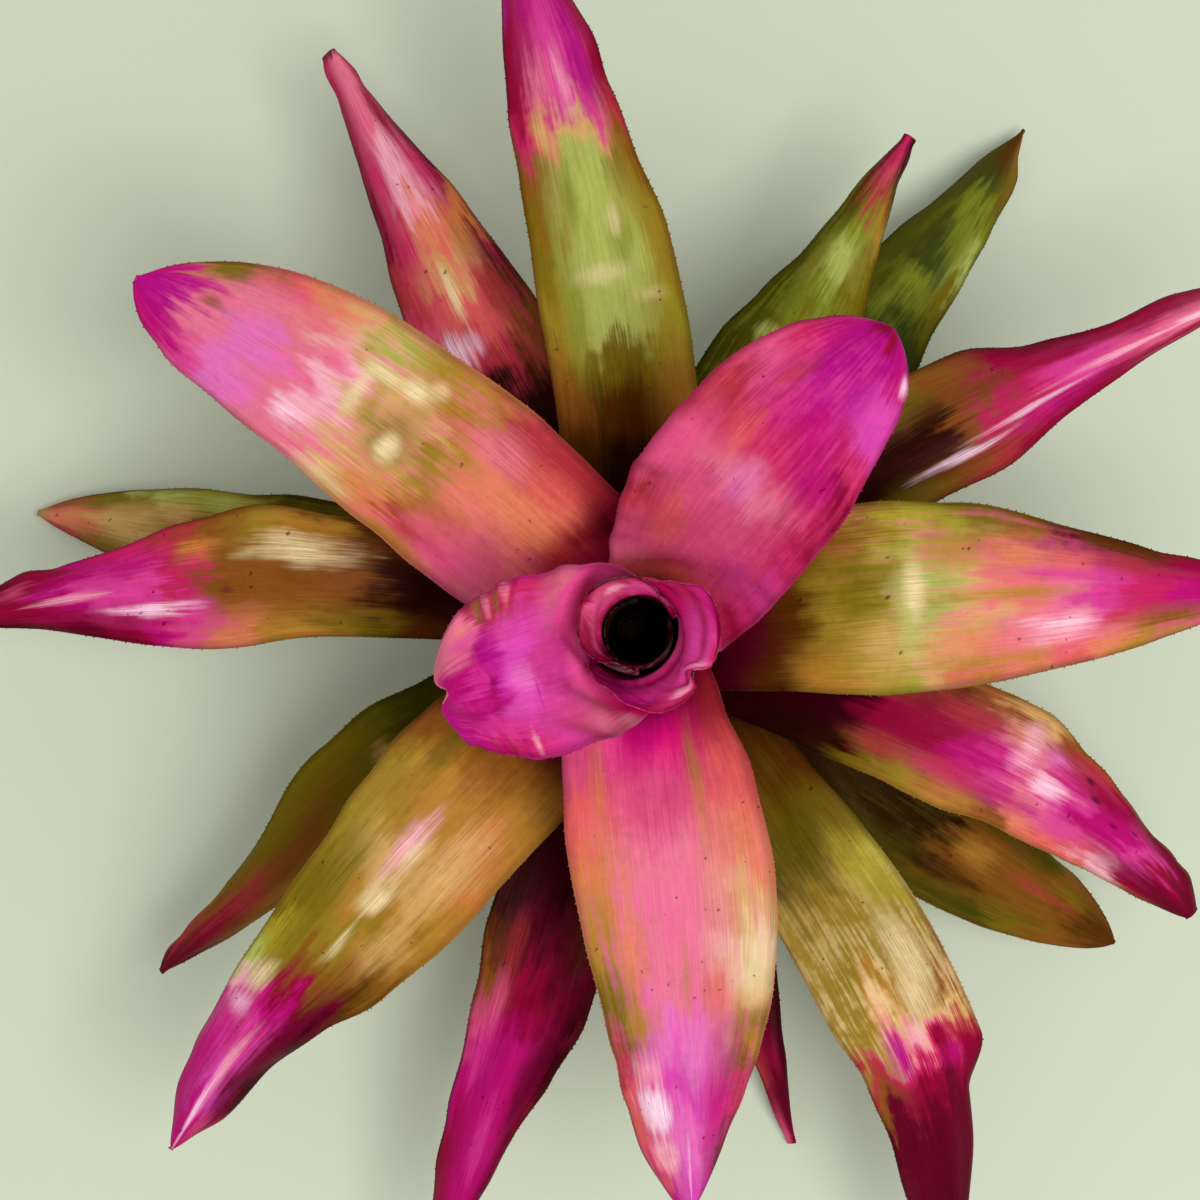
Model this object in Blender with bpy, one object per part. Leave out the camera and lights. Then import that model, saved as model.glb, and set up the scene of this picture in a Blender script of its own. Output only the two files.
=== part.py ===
"""A tank bromeliad: one rosette of broad leaves round a short stem, cut at the foot and set down.

Metres, +Z up. The origin is the centre of the stem's flat cut foot, and +Z runs up the plant's axis.
Each leaf is its own solid: a sheath that starts on the stem and is nested inside the next older sheath,
and a blade that leaves the cup and arches outwards. Leaves follow one spiral, from the rolled heart
leaves (layer 0) to the oldest and lowest ones.
"""

import math
from dataclasses import dataclass

import bmesh
import bpy
from mathutils import Vector

MM = 0.001

# Driving dimensions, in millimetres and degrees.
LAYERS = 22
LEAF_THICKNESS = 0.9
SEAT_GAP = 0.3
STEM_FOOT_RADIUS = 15.0
STEM_RADIUS = 12.5
STEM_TOP_RADIUS = 5.5
LOWEST_LEAF_HEIGHT = 12.0
LAYER_RISE = 2.6
LAYER_STEP = 1.4
HEART_RADIUS = 9.4
UPRIGHT_LAYERS = 3
LAYER_LEAN = 0.018
SHEATH_ROUNDING = 2.0
BLADE_ROWS = 10
SHORT_BLADE_ROWS = 6
SHORT_REACH = 30.0
COLUMNS = 8
ROLLED_COLUMNS = 12
ROLLED_WRAP = 115.0
TIP_HALF_WIDTH = 0.8


@dataclass(frozen=True)
class Leaf:
    """One leaf. Lengths are in millimetres and angles in degrees, counter-clockwise seen from above."""

    name: str
    layer: int  # 0 is the innermost
    azimuth: float  # the way the middle of the blade points
    sweep: float  # how far the blade curves sideways, from its foot to its tip
    hook: float  # a further curve sideways, mostly near the tip
    sheath_top: float  # height at which the sheath becomes the blade
    climb: float  # how strongly the blade goes on climbing past the sheath
    reach: float  # the tip's distance from the axis
    tip_height: float
    tip_pitch: float  # slope of the blade at its tip, below the horizontal
    tip_pull: float  # how strongly the tip's slope is felt back along the blade
    half_width: float  # of the blade where it is broadest
    broadest: float  # the share of the blade's length at which it is broadest
    neck: float  # half width at the foot of the blade, as a share of half_width
    point: float  # how long the blade stays broad before it narrows to the tip: 1 is straight, 3 is late
    slim: float  # below 1 rounds the tip off, above 1 draws it out
    wrap: float  # how far the sheath reaches round the axis to each side
    channel: float  # how far the edges turn up at the middle of the blade
    fold: float  # how far the edges turn down at the tip


LEAVES = (
    #    name, layer, azimuth, sweep, hook, sheath_top, climb, reach, tip_height, tip_pitch, tip_pull,
    #    half_width, broadest, neck, point, slim, wrap, channel, fold
    Leaf("inner_leaf_1", 0, 240, 0, 0, 156, 6, 9.4, 170, -88, 5, 25, 0.3, 1.0, 4.0, 0.8, 155, 152, -152),
    Leaf("inner_leaf_2", 1, 150, 0, 0, 146, 12, 18.5, 171, -35, 10, 26.5, 0.5, 0.9, 3.0, 0.7, 130, 125, -95),
    Leaf("inner_leaf_3", 2, 338, 0, 0, 136, 18, 24.5, 167, -30, 14, 30, 0.6, 0.85, 3.0, 0.6, 125, 120, -90),
    Leaf("inner_leaf_4", 3, 197, 0, 0, 130, 42, 59, 174, 50, 24, 27.5, 0.5, 1.0, 2.6, 0.45, 120, 50, 15),
    Leaf("middle_leaf_1", 4, 54.5, -8, 0, 104, 60, 109, 186, 25, 50, 27.5, 0.6, 0.9, 2.4, 0.6, 118, 20, 10),
    Leaf("middle_leaf_2", 5, 276.5, -2, 0, 94, 76, 174, 106, 30, 70, 29, 0.5, 0.9, 1.5, 0.75, 112, 10, 35),
    Leaf("middle_leaf_3", 6, 139.5, 10, 0, 88, 80, 178, 136, 5, 70, 27, 0.6, 0.95, 2.6, 0.65, 108, 15, 15),
    Leaf("middle_leaf_4", 7, 6.5, -6, 0, 82, 75, 189, 106, 25, 80, 27, 0.5, 1.0, 1.5, 0.9, 106, 10, 20),
    Leaf("middle_leaf_5", 8, 224.5, 8, 0, 76, 70, 208, 84, 25, 80, 25.5, 0.5, 0.9, 1.1, 0.55, 104, 10, 45),
    Leaf("middle_leaf_6", 9, 95.5, 10, 0, 71, 70, 223, 90, 25, 90, 22.5, 0.45, 0.9, 1.7, 1.0, 100, 10, 40),
    Leaf("outer_leaf_1", 10, 341, -6, -5, 66, 65, 192, 76, 25, 80, 20, 0.6, 0.8, 1.6, 0.75, 95, 10, 30),
    Leaf("outer_leaf_2", 11, 305.5, -8, -9, 62, 60, 240, 36, 50, 70, 20, 0.65, 0.8, 1.6, 1.0, 90, 5, 40),
    Leaf("outer_leaf_3", 12, 172, 16, 0, 58, 60, 216, 72, 20, 90, 20.5, 0.5, 0.8, 1.8, 1.1, 90, 10, 30),
    Leaf("outer_leaf_4", 13, 32, -8, 0, 54, 60, 239, 84, 10, 90, 19, 0.42, 0.9, 1.25, 1.0, 85, 0, 55),
    Leaf("outer_leaf_5", 14, 253.5, -2, 0, 50, 57, 220, 43, 30, 80, 18.5, 0.5, 0.9, 1.8, 1.1, 85, 5, 40),
    Leaf("outer_leaf_6", 15, 117.5, 0, 0, 46, 58, 205, 57, 20, 80, 22.5, 0.4, 0.9, 1.4, 0.75, 80, 0, 55),
    Leaf("outer_leaf_7", 16, 210, 12, 0, 42, 54, 185, 43, 25, 80, 16, 0.5, 0.9, 1.6, 0.7, 80, 5, 35),
    Leaf("outer_leaf_8", 17, 61.5, -1, 0, 39, 54, 177, 58, 15, 80, 20, 0.4, 0.9, 1.6, 1.0, 75, 5, 40),
    Leaf("outer_leaf_9", 18, 326, 2, 0, 36, 50, 184, 30, 20, 80, 21, 0.5, 0.8, 2.2, 0.65, 75, 5, 25),
    Leaf("outer_leaf_10", 19, 167, 4, 0, 32, 45, 199, 6, 30, 80, 18, 0.5, 0.8, 2.0, 0.8, 70, 5, 25),
    Leaf("outer_leaf_11", 20, 51, 2, 0, 29, 45, 208, 6, 30, 80, 18.5, 0.5, 0.8, 2.0, 0.9, 70, 5, 30),
    Leaf("outer_leaf_12", 21, 288.5, -2, 0, 26, 40, 177, 4, 25, 80, 11, 0.4, 1.0, 1.8, 0.9, 65, 5, 40),
)


def clear_scene():
    """Removes whatever the file opened with."""
    for thing in list(bpy.data.objects):
        bpy.data.objects.remove(thing)


def mix(a, b, share):
    return a + (b - a) * share


def ease(share):
    """Smooth step from 0 to 1."""
    share = min(1.0, max(0.0, share))
    return share * share * (3 - 2 * share)


def soft_min(a, b, rounding):
    """The smaller of two numbers, with the corner between them rounded."""
    return 0.5 * (a + b - math.sqrt((a - b) ** 2 + rounding**2))


def leaf_base_height(layer):
    """Inner leaves grow from higher up the stem."""
    return LOWEST_LEAF_HEIGHT + LAYER_RISE * (LAYERS - 1 - layer)


def stem_radius(height):
    """The stem tapers from its lowest leaf to its top."""
    top = leaf_base_height(0)
    return mix(STEM_RADIUS, STEM_TOP_RADIUS, (height - LOWEST_LEAF_HEIGHT) / (top - LOWEST_LEAF_HEIGHT))


def sheath_radius(layer, height):
    """Radius of a sheath at a height: a cone off the stem that turns into the layer's own, steeper funnel."""
    base = leaf_base_height(layer)
    start = stem_radius(base) + SEAT_GAP + LEAF_THICKNESS / 2
    cone = start + (height - base) * LAYER_STEP / LAYER_RISE
    lean = LAYER_LEAN * max(0, layer - UPRIGHT_LAYERS)
    tube = HEART_RADIUS + LAYER_STEP * layer + lean * (height - base)
    return soft_min(cone, tube, SHEATH_ROUNDING) + SHEATH_ROUNDING / 8


def bezier(points, share):
    """A point on the cubic curve through four (radius, height) points."""
    a, b, c, d = points
    rest = 1 - share
    return a * rest**3 + 3 * b * rest**2 * share + 3 * c * rest * share**2 + d * share**3


def blade_profile(leaf, steps=60):
    """The blade's midrib seen from the side: (radius, height) points from the sheath's top to the tip."""
    foot = Vector((sheath_radius(leaf.layer, leaf.sheath_top), leaf.sheath_top))
    below = Vector((sheath_radius(leaf.layer, leaf.sheath_top - 1), leaf.sheath_top - 1))
    tip = Vector((leaf.reach, leaf.tip_height))
    pitch = math.radians(leaf.tip_pitch)
    towards_tip = Vector((math.cos(pitch), -math.sin(pitch)))
    frame = (foot, foot + (foot - below).normalized() * leaf.climb, tip - towards_tip * leaf.tip_pull, tip)
    return [bezier(frame, step / steps) for step in range(steps + 1)]


def blade_shares(leaf):
    """Shares of the blade's length at which it has rows of points, closer together towards the tip."""
    count = SHORT_BLADE_ROWS if leaf.reach < SHORT_REACH else BLADE_ROWS
    return [1 - (1 - number / count) ** 1.25 for number in range(count + 1)]


def along(points, shares):
    """Points at shares of the length of a line of points."""
    lengths = [0.0]
    for a, b in zip(points, points[1:]):
        lengths.append(lengths[-1] + (b - a).length)
    found = []
    step = 0
    for share in shares:
        wanted = lengths[-1] * share
        while step < len(points) - 2 and lengths[step + 1] < wanted:
            step += 1
        inside = (wanted - lengths[step]) / (lengths[step + 1] - lengths[step])
        found.append(points[step].lerp(points[step + 1], inside))
    return found


def blade_azimuth(leaf, share):
    """The way a place along the blade's midrib faces, in radians."""
    return math.radians(leaf.azimuth + leaf.sweep * (share - 0.5) + leaf.hook * share**4)


def foot_half_width(leaf):
    """Half the width of the blade's foot, which the sheath must be able to wrap."""
    widest = math.radians(leaf.wrap) * sheath_radius(leaf.layer, leaf.sheath_top)
    return min(leaf.half_width * leaf.neck, widest)


def blade_half_width(leaf, share):
    """Half the blade's width at a share of its length: from neck to broadest place, then to the tip."""
    if share < leaf.broadest:
        return mix(foot_half_width(leaf), leaf.half_width, ease(share / leaf.broadest))
    beyond = (share - leaf.broadest) / (1 - leaf.broadest)
    return max(TIP_HALF_WIDTH, leaf.half_width * (1 - beyond**leaf.point) ** leaf.slim)


def ring_point(radius, azimuth, height):
    return Vector((radius * math.cos(azimuth), radius * math.sin(azimuth), height))


def sheath_heights(leaf):
    """Heights of the sheath's rows of points, closest together where the cone turns into the tube."""
    base = leaf_base_height(leaf.layer)
    cone = (HEART_RADIUS + LAYER_STEP * leaf.layer - stem_radius(base)) * LAYER_RISE / LAYER_STEP
    knee = min(cone, 0.6 * (leaf.sheath_top - base))
    low = [base + knee * share for share in (0, 0.6, 1, 1.4)]
    return low + [mix(low[-1], leaf.sheath_top, 0.5)]


def sheath_rows(leaf):
    """Rows of points round the axis, from the stem to the sheath's top."""
    heights = sheath_heights(leaf)
    facing = blade_azimuth(leaf, 0)
    top_turn = foot_half_width(leaf) / sheath_radius(leaf.layer, leaf.sheath_top)
    rows = []
    for height in heights:
        share = (height - heights[0]) / (leaf.sheath_top - heights[0])
        radius = sheath_radius(leaf.layer, height)
        turn = mix(math.radians(leaf.wrap), top_turn, ease(share))
        flat = math.cos(turn / column_count(leaf))
        corner = radius * 2 / (1 + flat)  # the strips between the corners lie as far inside the circle
        rows.append([ring_point(corner, facing + turn * side, height) for side in column_sides(leaf)])
    return rows


def column_count(leaf):
    """Leaves rolled far round the axis are built from more strips."""
    return ROLLED_COLUMNS if leaf.wrap > ROLLED_WRAP else COLUMNS


def column_sides(leaf):
    """Places across a leaf, from -1 at its right edge to 1 at its left edge."""
    count = column_count(leaf)
    return [2 * column / count - 1 for column in range(count + 1)]


def blade_rows(leaf):
    """Rows of points across the blade, from the sheath's top to the tip."""
    shares = blade_shares(leaf)
    profile = along(blade_profile(leaf), shares)
    midrib = []
    for share, (radius, height) in zip(shares, profile):
        midrib.append(ring_point(radius, blade_azimuth(leaf, share), height))
    foot_turn = foot_half_width(leaf) / profile[0][0]
    last = len(shares) - 1
    rows = []
    for number, share in enumerate(shares):
        ahead = (midrib[min(number + 1, last)] - midrib[max(number - 1, 0)]).normalized()
        azimuth = blade_azimuth(leaf, share)
        across = Vector((-math.sin(azimuth), math.cos(azimuth), 0))
        across = (across - ahead * across.dot(ahead)).normalized()
        inward = ahead.cross(across)
        half_width = blade_half_width(leaf, share)
        turn = section_turn(leaf, share, half_width, foot_turn)
        centre = midrib[number]
        rows.append(
            [section_point(centre, across, inward, half_width, turn, side) for side in column_sides(leaf)]
        )
    return rows


def section_turn(leaf, share, half_width, foot_turn):
    """The angle that half the section turns through: positive where the edges stand above the midrib.

    A section that stays rolled up to the tip keeps its radius while the blade narrows.
    """
    narrowing = half_width / leaf.half_width
    middle_turn = math.radians(leaf.channel) * narrowing
    tip_turn = -math.radians(leaf.fold) * (narrowing if leaf.fold < 0 else 1)
    if share < 0.5:
        return mix(foot_turn, middle_turn, ease(share * 2) ** 0.5)
    return mix(middle_turn, tip_turn, ease(share * 2 - 1))


def section_point(centre, across, inward, half_width, turn, side):
    """A point across the blade, whose section is an arc that turns by an angle from midrib to edge."""
    if abs(turn) < 1e-3:
        return centre + across * half_width * side
    radius = half_width / turn
    angle = turn * side
    return centre + across * radius * math.sin(angle) + inward * radius * (1 - math.cos(angle))


def plant_material(name, colour, roughness):
    """A Principled material of one colour."""
    material = bpy.data.materials.new(name)
    material.use_nodes = True
    shader = material.node_tree.nodes["Principled BSDF"]
    shader.inputs["Base Color"].default_value = (*colour, 1)
    shader.inputs["Roughness"].default_value = roughness
    return material


def build_leaf(leaf, material):
    """One leaf: a grid laid along the sheath and the blade, given its thickness by Solidify."""
    rows = sheath_rows(leaf) + blade_rows(leaf)
    sheet = bmesh.new()
    bmesh.ops.create_grid(sheet, x_segments=column_count(leaf), y_segments=len(rows) - 1, size=1)
    sheet.verts.ensure_lookup_table()
    places = [point for row in rows for point in row]
    for vertex, place in zip(sheet.verts, places):
        vertex.co = place * MM
    mesh = bpy.data.meshes.new(leaf.name)
    sheet.to_mesh(mesh)
    sheet.free()
    mesh.materials.append(material)
    mesh.shade_smooth()
    obj = bpy.data.objects.new(leaf.name, mesh)
    bpy.context.collection.objects.link(obj)
    skin = obj.modifiers.new("leaf thickness", "SOLIDIFY")
    skin.thickness = LEAF_THICKNESS * MM
    skin.offset = 0
    return obj


def build_stem(material):
    """The stem: a turned solid with a flat cut foot, thickest at the cut and tapering to its top."""
    top = leaf_base_height(0)
    profile = (
        (0, 0),
        (STEM_FOOT_RADIUS - 1, 0),
        (STEM_FOOT_RADIUS, 1),
        (STEM_FOOT_RADIUS - 0.5, 6),
        (STEM_RADIUS, LOWEST_LEAF_HEIGHT - 2),
        (STEM_RADIUS, LOWEST_LEAF_HEIGHT),
        (STEM_TOP_RADIUS, top),
        (STEM_TOP_RADIUS - 2, top + 2),
        (0, top + 3),
    )
    turned = bmesh.new()
    line = [turned.verts.new((radius * MM, 0, height * MM)) for radius, height in profile]
    edges = [turned.edges.new(pair) for pair in zip(line, line[1:])]
    bmesh.ops.spin(
        turned, geom=line + edges, axis=(0, 0, 1), cent=(0, 0, 0), angle=math.tau, steps=24, use_merge=True
    )
    bmesh.ops.remove_doubles(turned, verts=turned.verts, dist=0.01 * MM)
    bmesh.ops.recalc_face_normals(turned, faces=turned.faces)
    mesh = bpy.data.meshes.new("stem")
    turned.to_mesh(mesh)
    turned.free()
    mesh.materials.append(material)
    mesh.shade_smooth()
    obj = bpy.data.objects.new("stem", mesh)
    bpy.context.collection.objects.link(obj)
    return obj


def main():
    clear_scene()
    pink = plant_material("inner leaf magenta", (0.62, 0.06, 0.36), 0.35)
    rose = plant_material("middle leaf rose and olive", (0.62, 0.25, 0.18), 0.35)
    olive = plant_material("outer leaf olive", (0.24, 0.22, 0.05), 0.35)
    bark = plant_material("stem", (0.4, 0.34, 0.22), 0.8)
    finishes = {"inner": pink, "middle": rose, "outer": olive}
    build_stem(bark)
    for leaf in LEAVES:
        build_leaf(leaf, finishes[leaf.name.split("_")[0]])


main()
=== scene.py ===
"""The looks of a tank bromeliad: one rosette of broad, painted leaves round a short cut stem.

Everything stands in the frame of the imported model: metres, +Z up, with the origin at the centre of the
stem's cut foot. Forms are written in millimetres and degrees, as a grower would measure them. Every
leaf is a sheath, nested round the axis, and a blade that arches outwards from it.
"""

import logging
import math
from dataclasses import dataclass, field
from enum import Enum

import bpy
import numpy as np
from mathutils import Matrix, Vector


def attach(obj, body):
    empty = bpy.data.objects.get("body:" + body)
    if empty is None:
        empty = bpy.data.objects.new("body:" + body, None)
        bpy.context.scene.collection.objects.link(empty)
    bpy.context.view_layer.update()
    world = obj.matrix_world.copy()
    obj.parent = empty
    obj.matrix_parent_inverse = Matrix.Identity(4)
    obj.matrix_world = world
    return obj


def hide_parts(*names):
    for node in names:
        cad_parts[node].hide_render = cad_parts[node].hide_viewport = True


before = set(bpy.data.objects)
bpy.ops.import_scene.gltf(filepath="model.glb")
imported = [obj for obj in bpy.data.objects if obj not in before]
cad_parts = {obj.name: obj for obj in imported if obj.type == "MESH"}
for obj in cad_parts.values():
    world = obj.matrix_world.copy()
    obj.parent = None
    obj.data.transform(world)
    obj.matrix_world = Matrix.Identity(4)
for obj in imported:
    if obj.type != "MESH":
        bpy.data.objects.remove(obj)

LOG = logging.getLogger("bromeliad")
MM = 0.001
BODY = "root"
LEAF_MAP = "leaf_map"
UNDERSIDE = "underside"
FULL_TURN = 2 * math.pi

Stations = tuple[float, ...]  # percents along the blade, each with its value


# ---- How numbers and points are worked out ----


def mix(start: float, end: float, share: float) -> float:
    """A number between two others."""
    return start + (end - start) * share


def ease(share: np.ndarray) -> np.ndarray:
    """Smooth step from 0 to 1."""
    share = np.clip(share, 0.0, 1.0)
    return share * share * (3 - 2 * share)


def follow(stations: Stations, share: np.ndarray) -> np.ndarray:
    """Values that pass smoothly through stations along the blade.

    Args:
        stations: The stations, in rising order. None gives 0 everywhere.
        share: Places along the blade.

    Returns:
        The value at each place; the first and last values hold beyond the ends.
    """
    result = np.zeros_like(share)
    if not stations:
        return result
    places, values = [percent / 100 for percent in stations[::2]], stations[1::2]
    result += values[0]
    for low, high, start, end in zip(places, places[1:], values, values[1:]):
        result += (end - start) * ease((share - low) / (high - low))
    return result


def unit(vectors: np.ndarray) -> np.ndarray:
    """Vectors of length 1 along the last axis."""
    return vectors / np.maximum(np.linalg.norm(vectors, axis=-1, keepdims=True), 1e-9)


def polar(radius: np.ndarray, angle: np.ndarray, height: np.ndarray) -> np.ndarray:
    """Points at a distance from the axis, an angle round it and a height."""
    return np.stack(np.broadcast_arrays(radius * np.cos(angle), radius * np.sin(angle), height), -1)


def running_length(line: np.ndarray) -> np.ndarray:
    """The length along a line up to each of its points."""
    return np.concatenate(([0.0], np.cumsum(np.linalg.norm(np.diff(line, axis=0), axis=1))))


# ---- The plant's build: how sheaths nest round the stem ----


@dataclass(frozen=True)
class Rosette:
    """Sizes that all the leaves share, in millimetres."""

    layers: int = 22
    seat_gap: float = 0.3
    leaf_thickness: float = 0.9
    stem_radius: float = 12.5
    stem_top_radius: float = 5.5
    lowest_leaf: float = 12.0
    layer_rise: float = 2.6
    layer_step: float = 1.4
    heart_radius: float = 9.4
    upright_layers: int = 3
    layer_lean: float = 0.018
    sheath_rounding: float = 2.0
    tip_half_width: float = 0.8

    def base_height(self, layer: int) -> float:
        """Height at which a layer's sheath leaves the stem."""
        return self.lowest_leaf + self.layer_rise * (self.layers - 1 - layer)

    def stem_radius_at(self, height: float) -> float:
        """Radius of the tapering stem at a height."""
        share = (height - self.lowest_leaf) / (self.base_height(0) - self.lowest_leaf)
        return mix(self.stem_radius, self.stem_top_radius, share)

    def sheath_radius(self, layer: int, height: float) -> float:
        """Radius of a sheath: a cone off the stem that turns into the layer's own steep funnel.

        Args:
            layer: The leaf's place in the spiral, 0 at the heart.
            height: Height above the cut foot.

        Returns:
            The distance of the sheath's middle surface from the axis.
        """
        base = self.base_height(layer)
        start = self.stem_radius_at(base) + self.seat_gap + self.leaf_thickness / 2
        cone = start + (height - base) * self.layer_step / self.layer_rise
        lean = self.layer_lean * max(0, layer - self.upright_layers)
        tube = self.heart_radius + self.layer_step * layer + lean * (height - base)
        corner = math.sqrt((cone - tube) ** 2 + self.sheath_rounding**2)
        return 0.5 * (cone + tube - corner) + self.sheath_rounding / 8

    def knee_height(self, layer: int, sheath_top: float) -> float:
        """Height above which a sheath follows its own funnel.

        Args:
            layer: The leaf's place in the spiral, 0 at the heart.
            sheath_top: Height at which its blade starts.

        Returns:
            The height above the cut foot.
        """
        base = self.base_height(layer)
        tube = self.heart_radius + self.layer_step * layer
        cone = (tube - self.stem_radius_at(base)) * self.layer_rise / self.layer_step
        return base + 1.4 * min(cone, 0.6 * (sheath_top - base))


ROSETTE = Rosette()


@dataclass(frozen=True)
class Swell:
    """A dent, pleat or ripple raised out of a blade."""

    share: float  # where its middle is along the blade, in percent
    side: float  # where its middle is across it: -100 and 100 are the margins
    long: float  # how far it reaches along the blade, in percent
    wide: float  # how far it reaches across, in percent of the half width
    height: float  # in millimetres
    waves: float = 0.0  # waves within its length: 0 is one plain swell
    slant: float = 0.0  # how far it leans along the blade from one margin to the other
    turn: float = 0.0  # where in the wave it starts

    def raise_from(self, share: np.ndarray, side: np.ndarray) -> np.ndarray:
        """How far the blade is lifted at each place.

        Args:
            share: Places along the blade.
            side: Places across it, -1 to 1.

        Returns:
            The lift at each place.
        """
        aside = side - self.side / 100
        along = (share - self.share / 100 - self.slant * aside) / (self.long / 100)
        across = aside / (self.wide / 100)
        bump = np.exp(-(along**2) - across**2)
        return self.height * bump * np.cos(FULL_TURN * (self.waves * along + self.turn))


@dataclass(frozen=True)
class LeafForm:
    """One leaf's form. Lengths are in millimetres, angles in degrees counter-clockwise from above."""

    layer: int  # its place in the spiral, 0 at the heart
    azimuth: float  # the way that its middle faces
    sweep: float  # how far it turns aside from foot to tip
    hook: float  # how far its tip turns aside beyond that
    sheath_top: float  # height at which the blade leaves the sheath
    climb: float  # how strongly it goes on up before it arches
    reach: float  # its tip's distance from the axis
    tip_height: float
    tip_pitch: float  # how steeply its tip points down
    tip_pull: float  # how strongly it straightens towards the tip
    half_width: float
    broadest: float  # where along the blade it is broadest
    neck: float  # its foot's width, as a share of the broadest
    point: float  # how late its taper starts
    slim: float  # how evenly it tapers: 1 is straight, less is blunter
    wrap: float  # half the angle that its sheath wraps round the axis
    channel: float  # half the angle that its section curves through halfway
    fold: float  # the same at its tip, where the margins hang below the midrib
    keel: Stations = ()  # how far the margins fall below a ridge along the midrib
    right: Stations = ()  # how much wider the clockwise half is
    left: Stations = ()  # how much wider the counter-clockwise half is
    shift: Stations = ()  # how far the blade lies to its left
    notch: tuple[float, float] = (0.0, 0.0)  # depth of the nick in the tip, and how far left it lies
    swells: tuple[Swell, ...] = ()
    wave: float = 0.5  # height of the margins' slow undulation
    waves: float = 4.0  # its number along the blade
    spine: float = 0.8  # length of the marginal spines
    columns: int = 36
    rows: int = 150

    def facing(self, share: np.ndarray) -> np.ndarray:
        """The way each place along the midrib faces, in radians."""
        return np.radians(self.azimuth + self.sweep * (share - 0.5) + self.hook * share**4)

    def foot_half_width(self) -> float:
        """Half the width of the blade's foot, which the sheath must be able to wrap."""
        widest = math.radians(self.wrap) * ROSETTE.sheath_radius(self.layer, self.sheath_top)
        return min(self.half_width * self.neck, widest)

    def half_widths(self, share: np.ndarray) -> np.ndarray:
        """Half the blade's width, from its neck to its broadest place and on to the tip.

        Args:
            share: Places along the blade.

        Returns:
            Half the width at each place.
        """
        swelling = mix(self.foot_half_width(), self.half_width, ease(share / self.broadest))
        beyond = np.clip((share - self.broadest) / (1 - self.broadest), 0.0, 1.0)
        tapering = self.half_width * (1 - beyond**self.point) ** self.slim
        return np.where(share < self.broadest, swelling, np.maximum(ROSETTE.tip_half_width, tapering))

    def profile(self, share: np.ndarray) -> np.ndarray:
        """The midrib seen from the side.

        Args:
            share: Places along the blade, by length.

        Returns:
            A (radius, height) row for each place.
        """
        low = self.sheath_top - 1
        foot = np.array((ROSETTE.sheath_radius(self.layer, self.sheath_top), self.sheath_top))
        below = np.array((ROSETTE.sheath_radius(self.layer, low), low))
        tip = np.array((self.reach, self.tip_height))
        pitch = math.radians(self.tip_pitch)
        pull = np.array((math.cos(pitch), -math.sin(pitch))) * self.tip_pull
        climbing = foot + unit(foot - below) * self.climb
        t = np.linspace(0, 1, 400)[:, None]
        line = foot * (1 - t) ** 3 + 3 * climbing * (1 - t) ** 2 * t
        line = line + 3 * (tip - pull) * (1 - t) * t**2 + tip * t**3
        run = running_length(line)
        return np.stack([np.interp(share * run[-1], run, line[:, axis]) for axis in (0, 1)], 1)

    def blade_length(self) -> float:
        """Length of the blade along its midrib."""
        line = self.profile(np.linspace(0, 1, 200))
        return float(np.linalg.norm(np.diff(line, axis=0), axis=1).sum())

    def section_turns(self, share: np.ndarray, half: np.ndarray, foot_turn: float) -> np.ndarray:
        """The angle that half the section turns through: above 0, the margins stand over the midrib.

        Args:
            share: Places along the blade.
            half: Half the blade's width there.
            foot_turn: The angle at its foot.

        Returns:
            The angle at each place, in radians.
        """
        narrowing = half / self.half_width
        middle = math.radians(self.channel) * narrowing
        tip = -math.radians(self.fold) * (narrowing if self.fold < 0 else 1)
        rising = mix(foot_turn, middle, ease(share * 2) ** 0.5)
        falling = mix(middle, tip, ease(share * 2 - 1))
        return np.where(share < 0.5, rising, falling)


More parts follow.
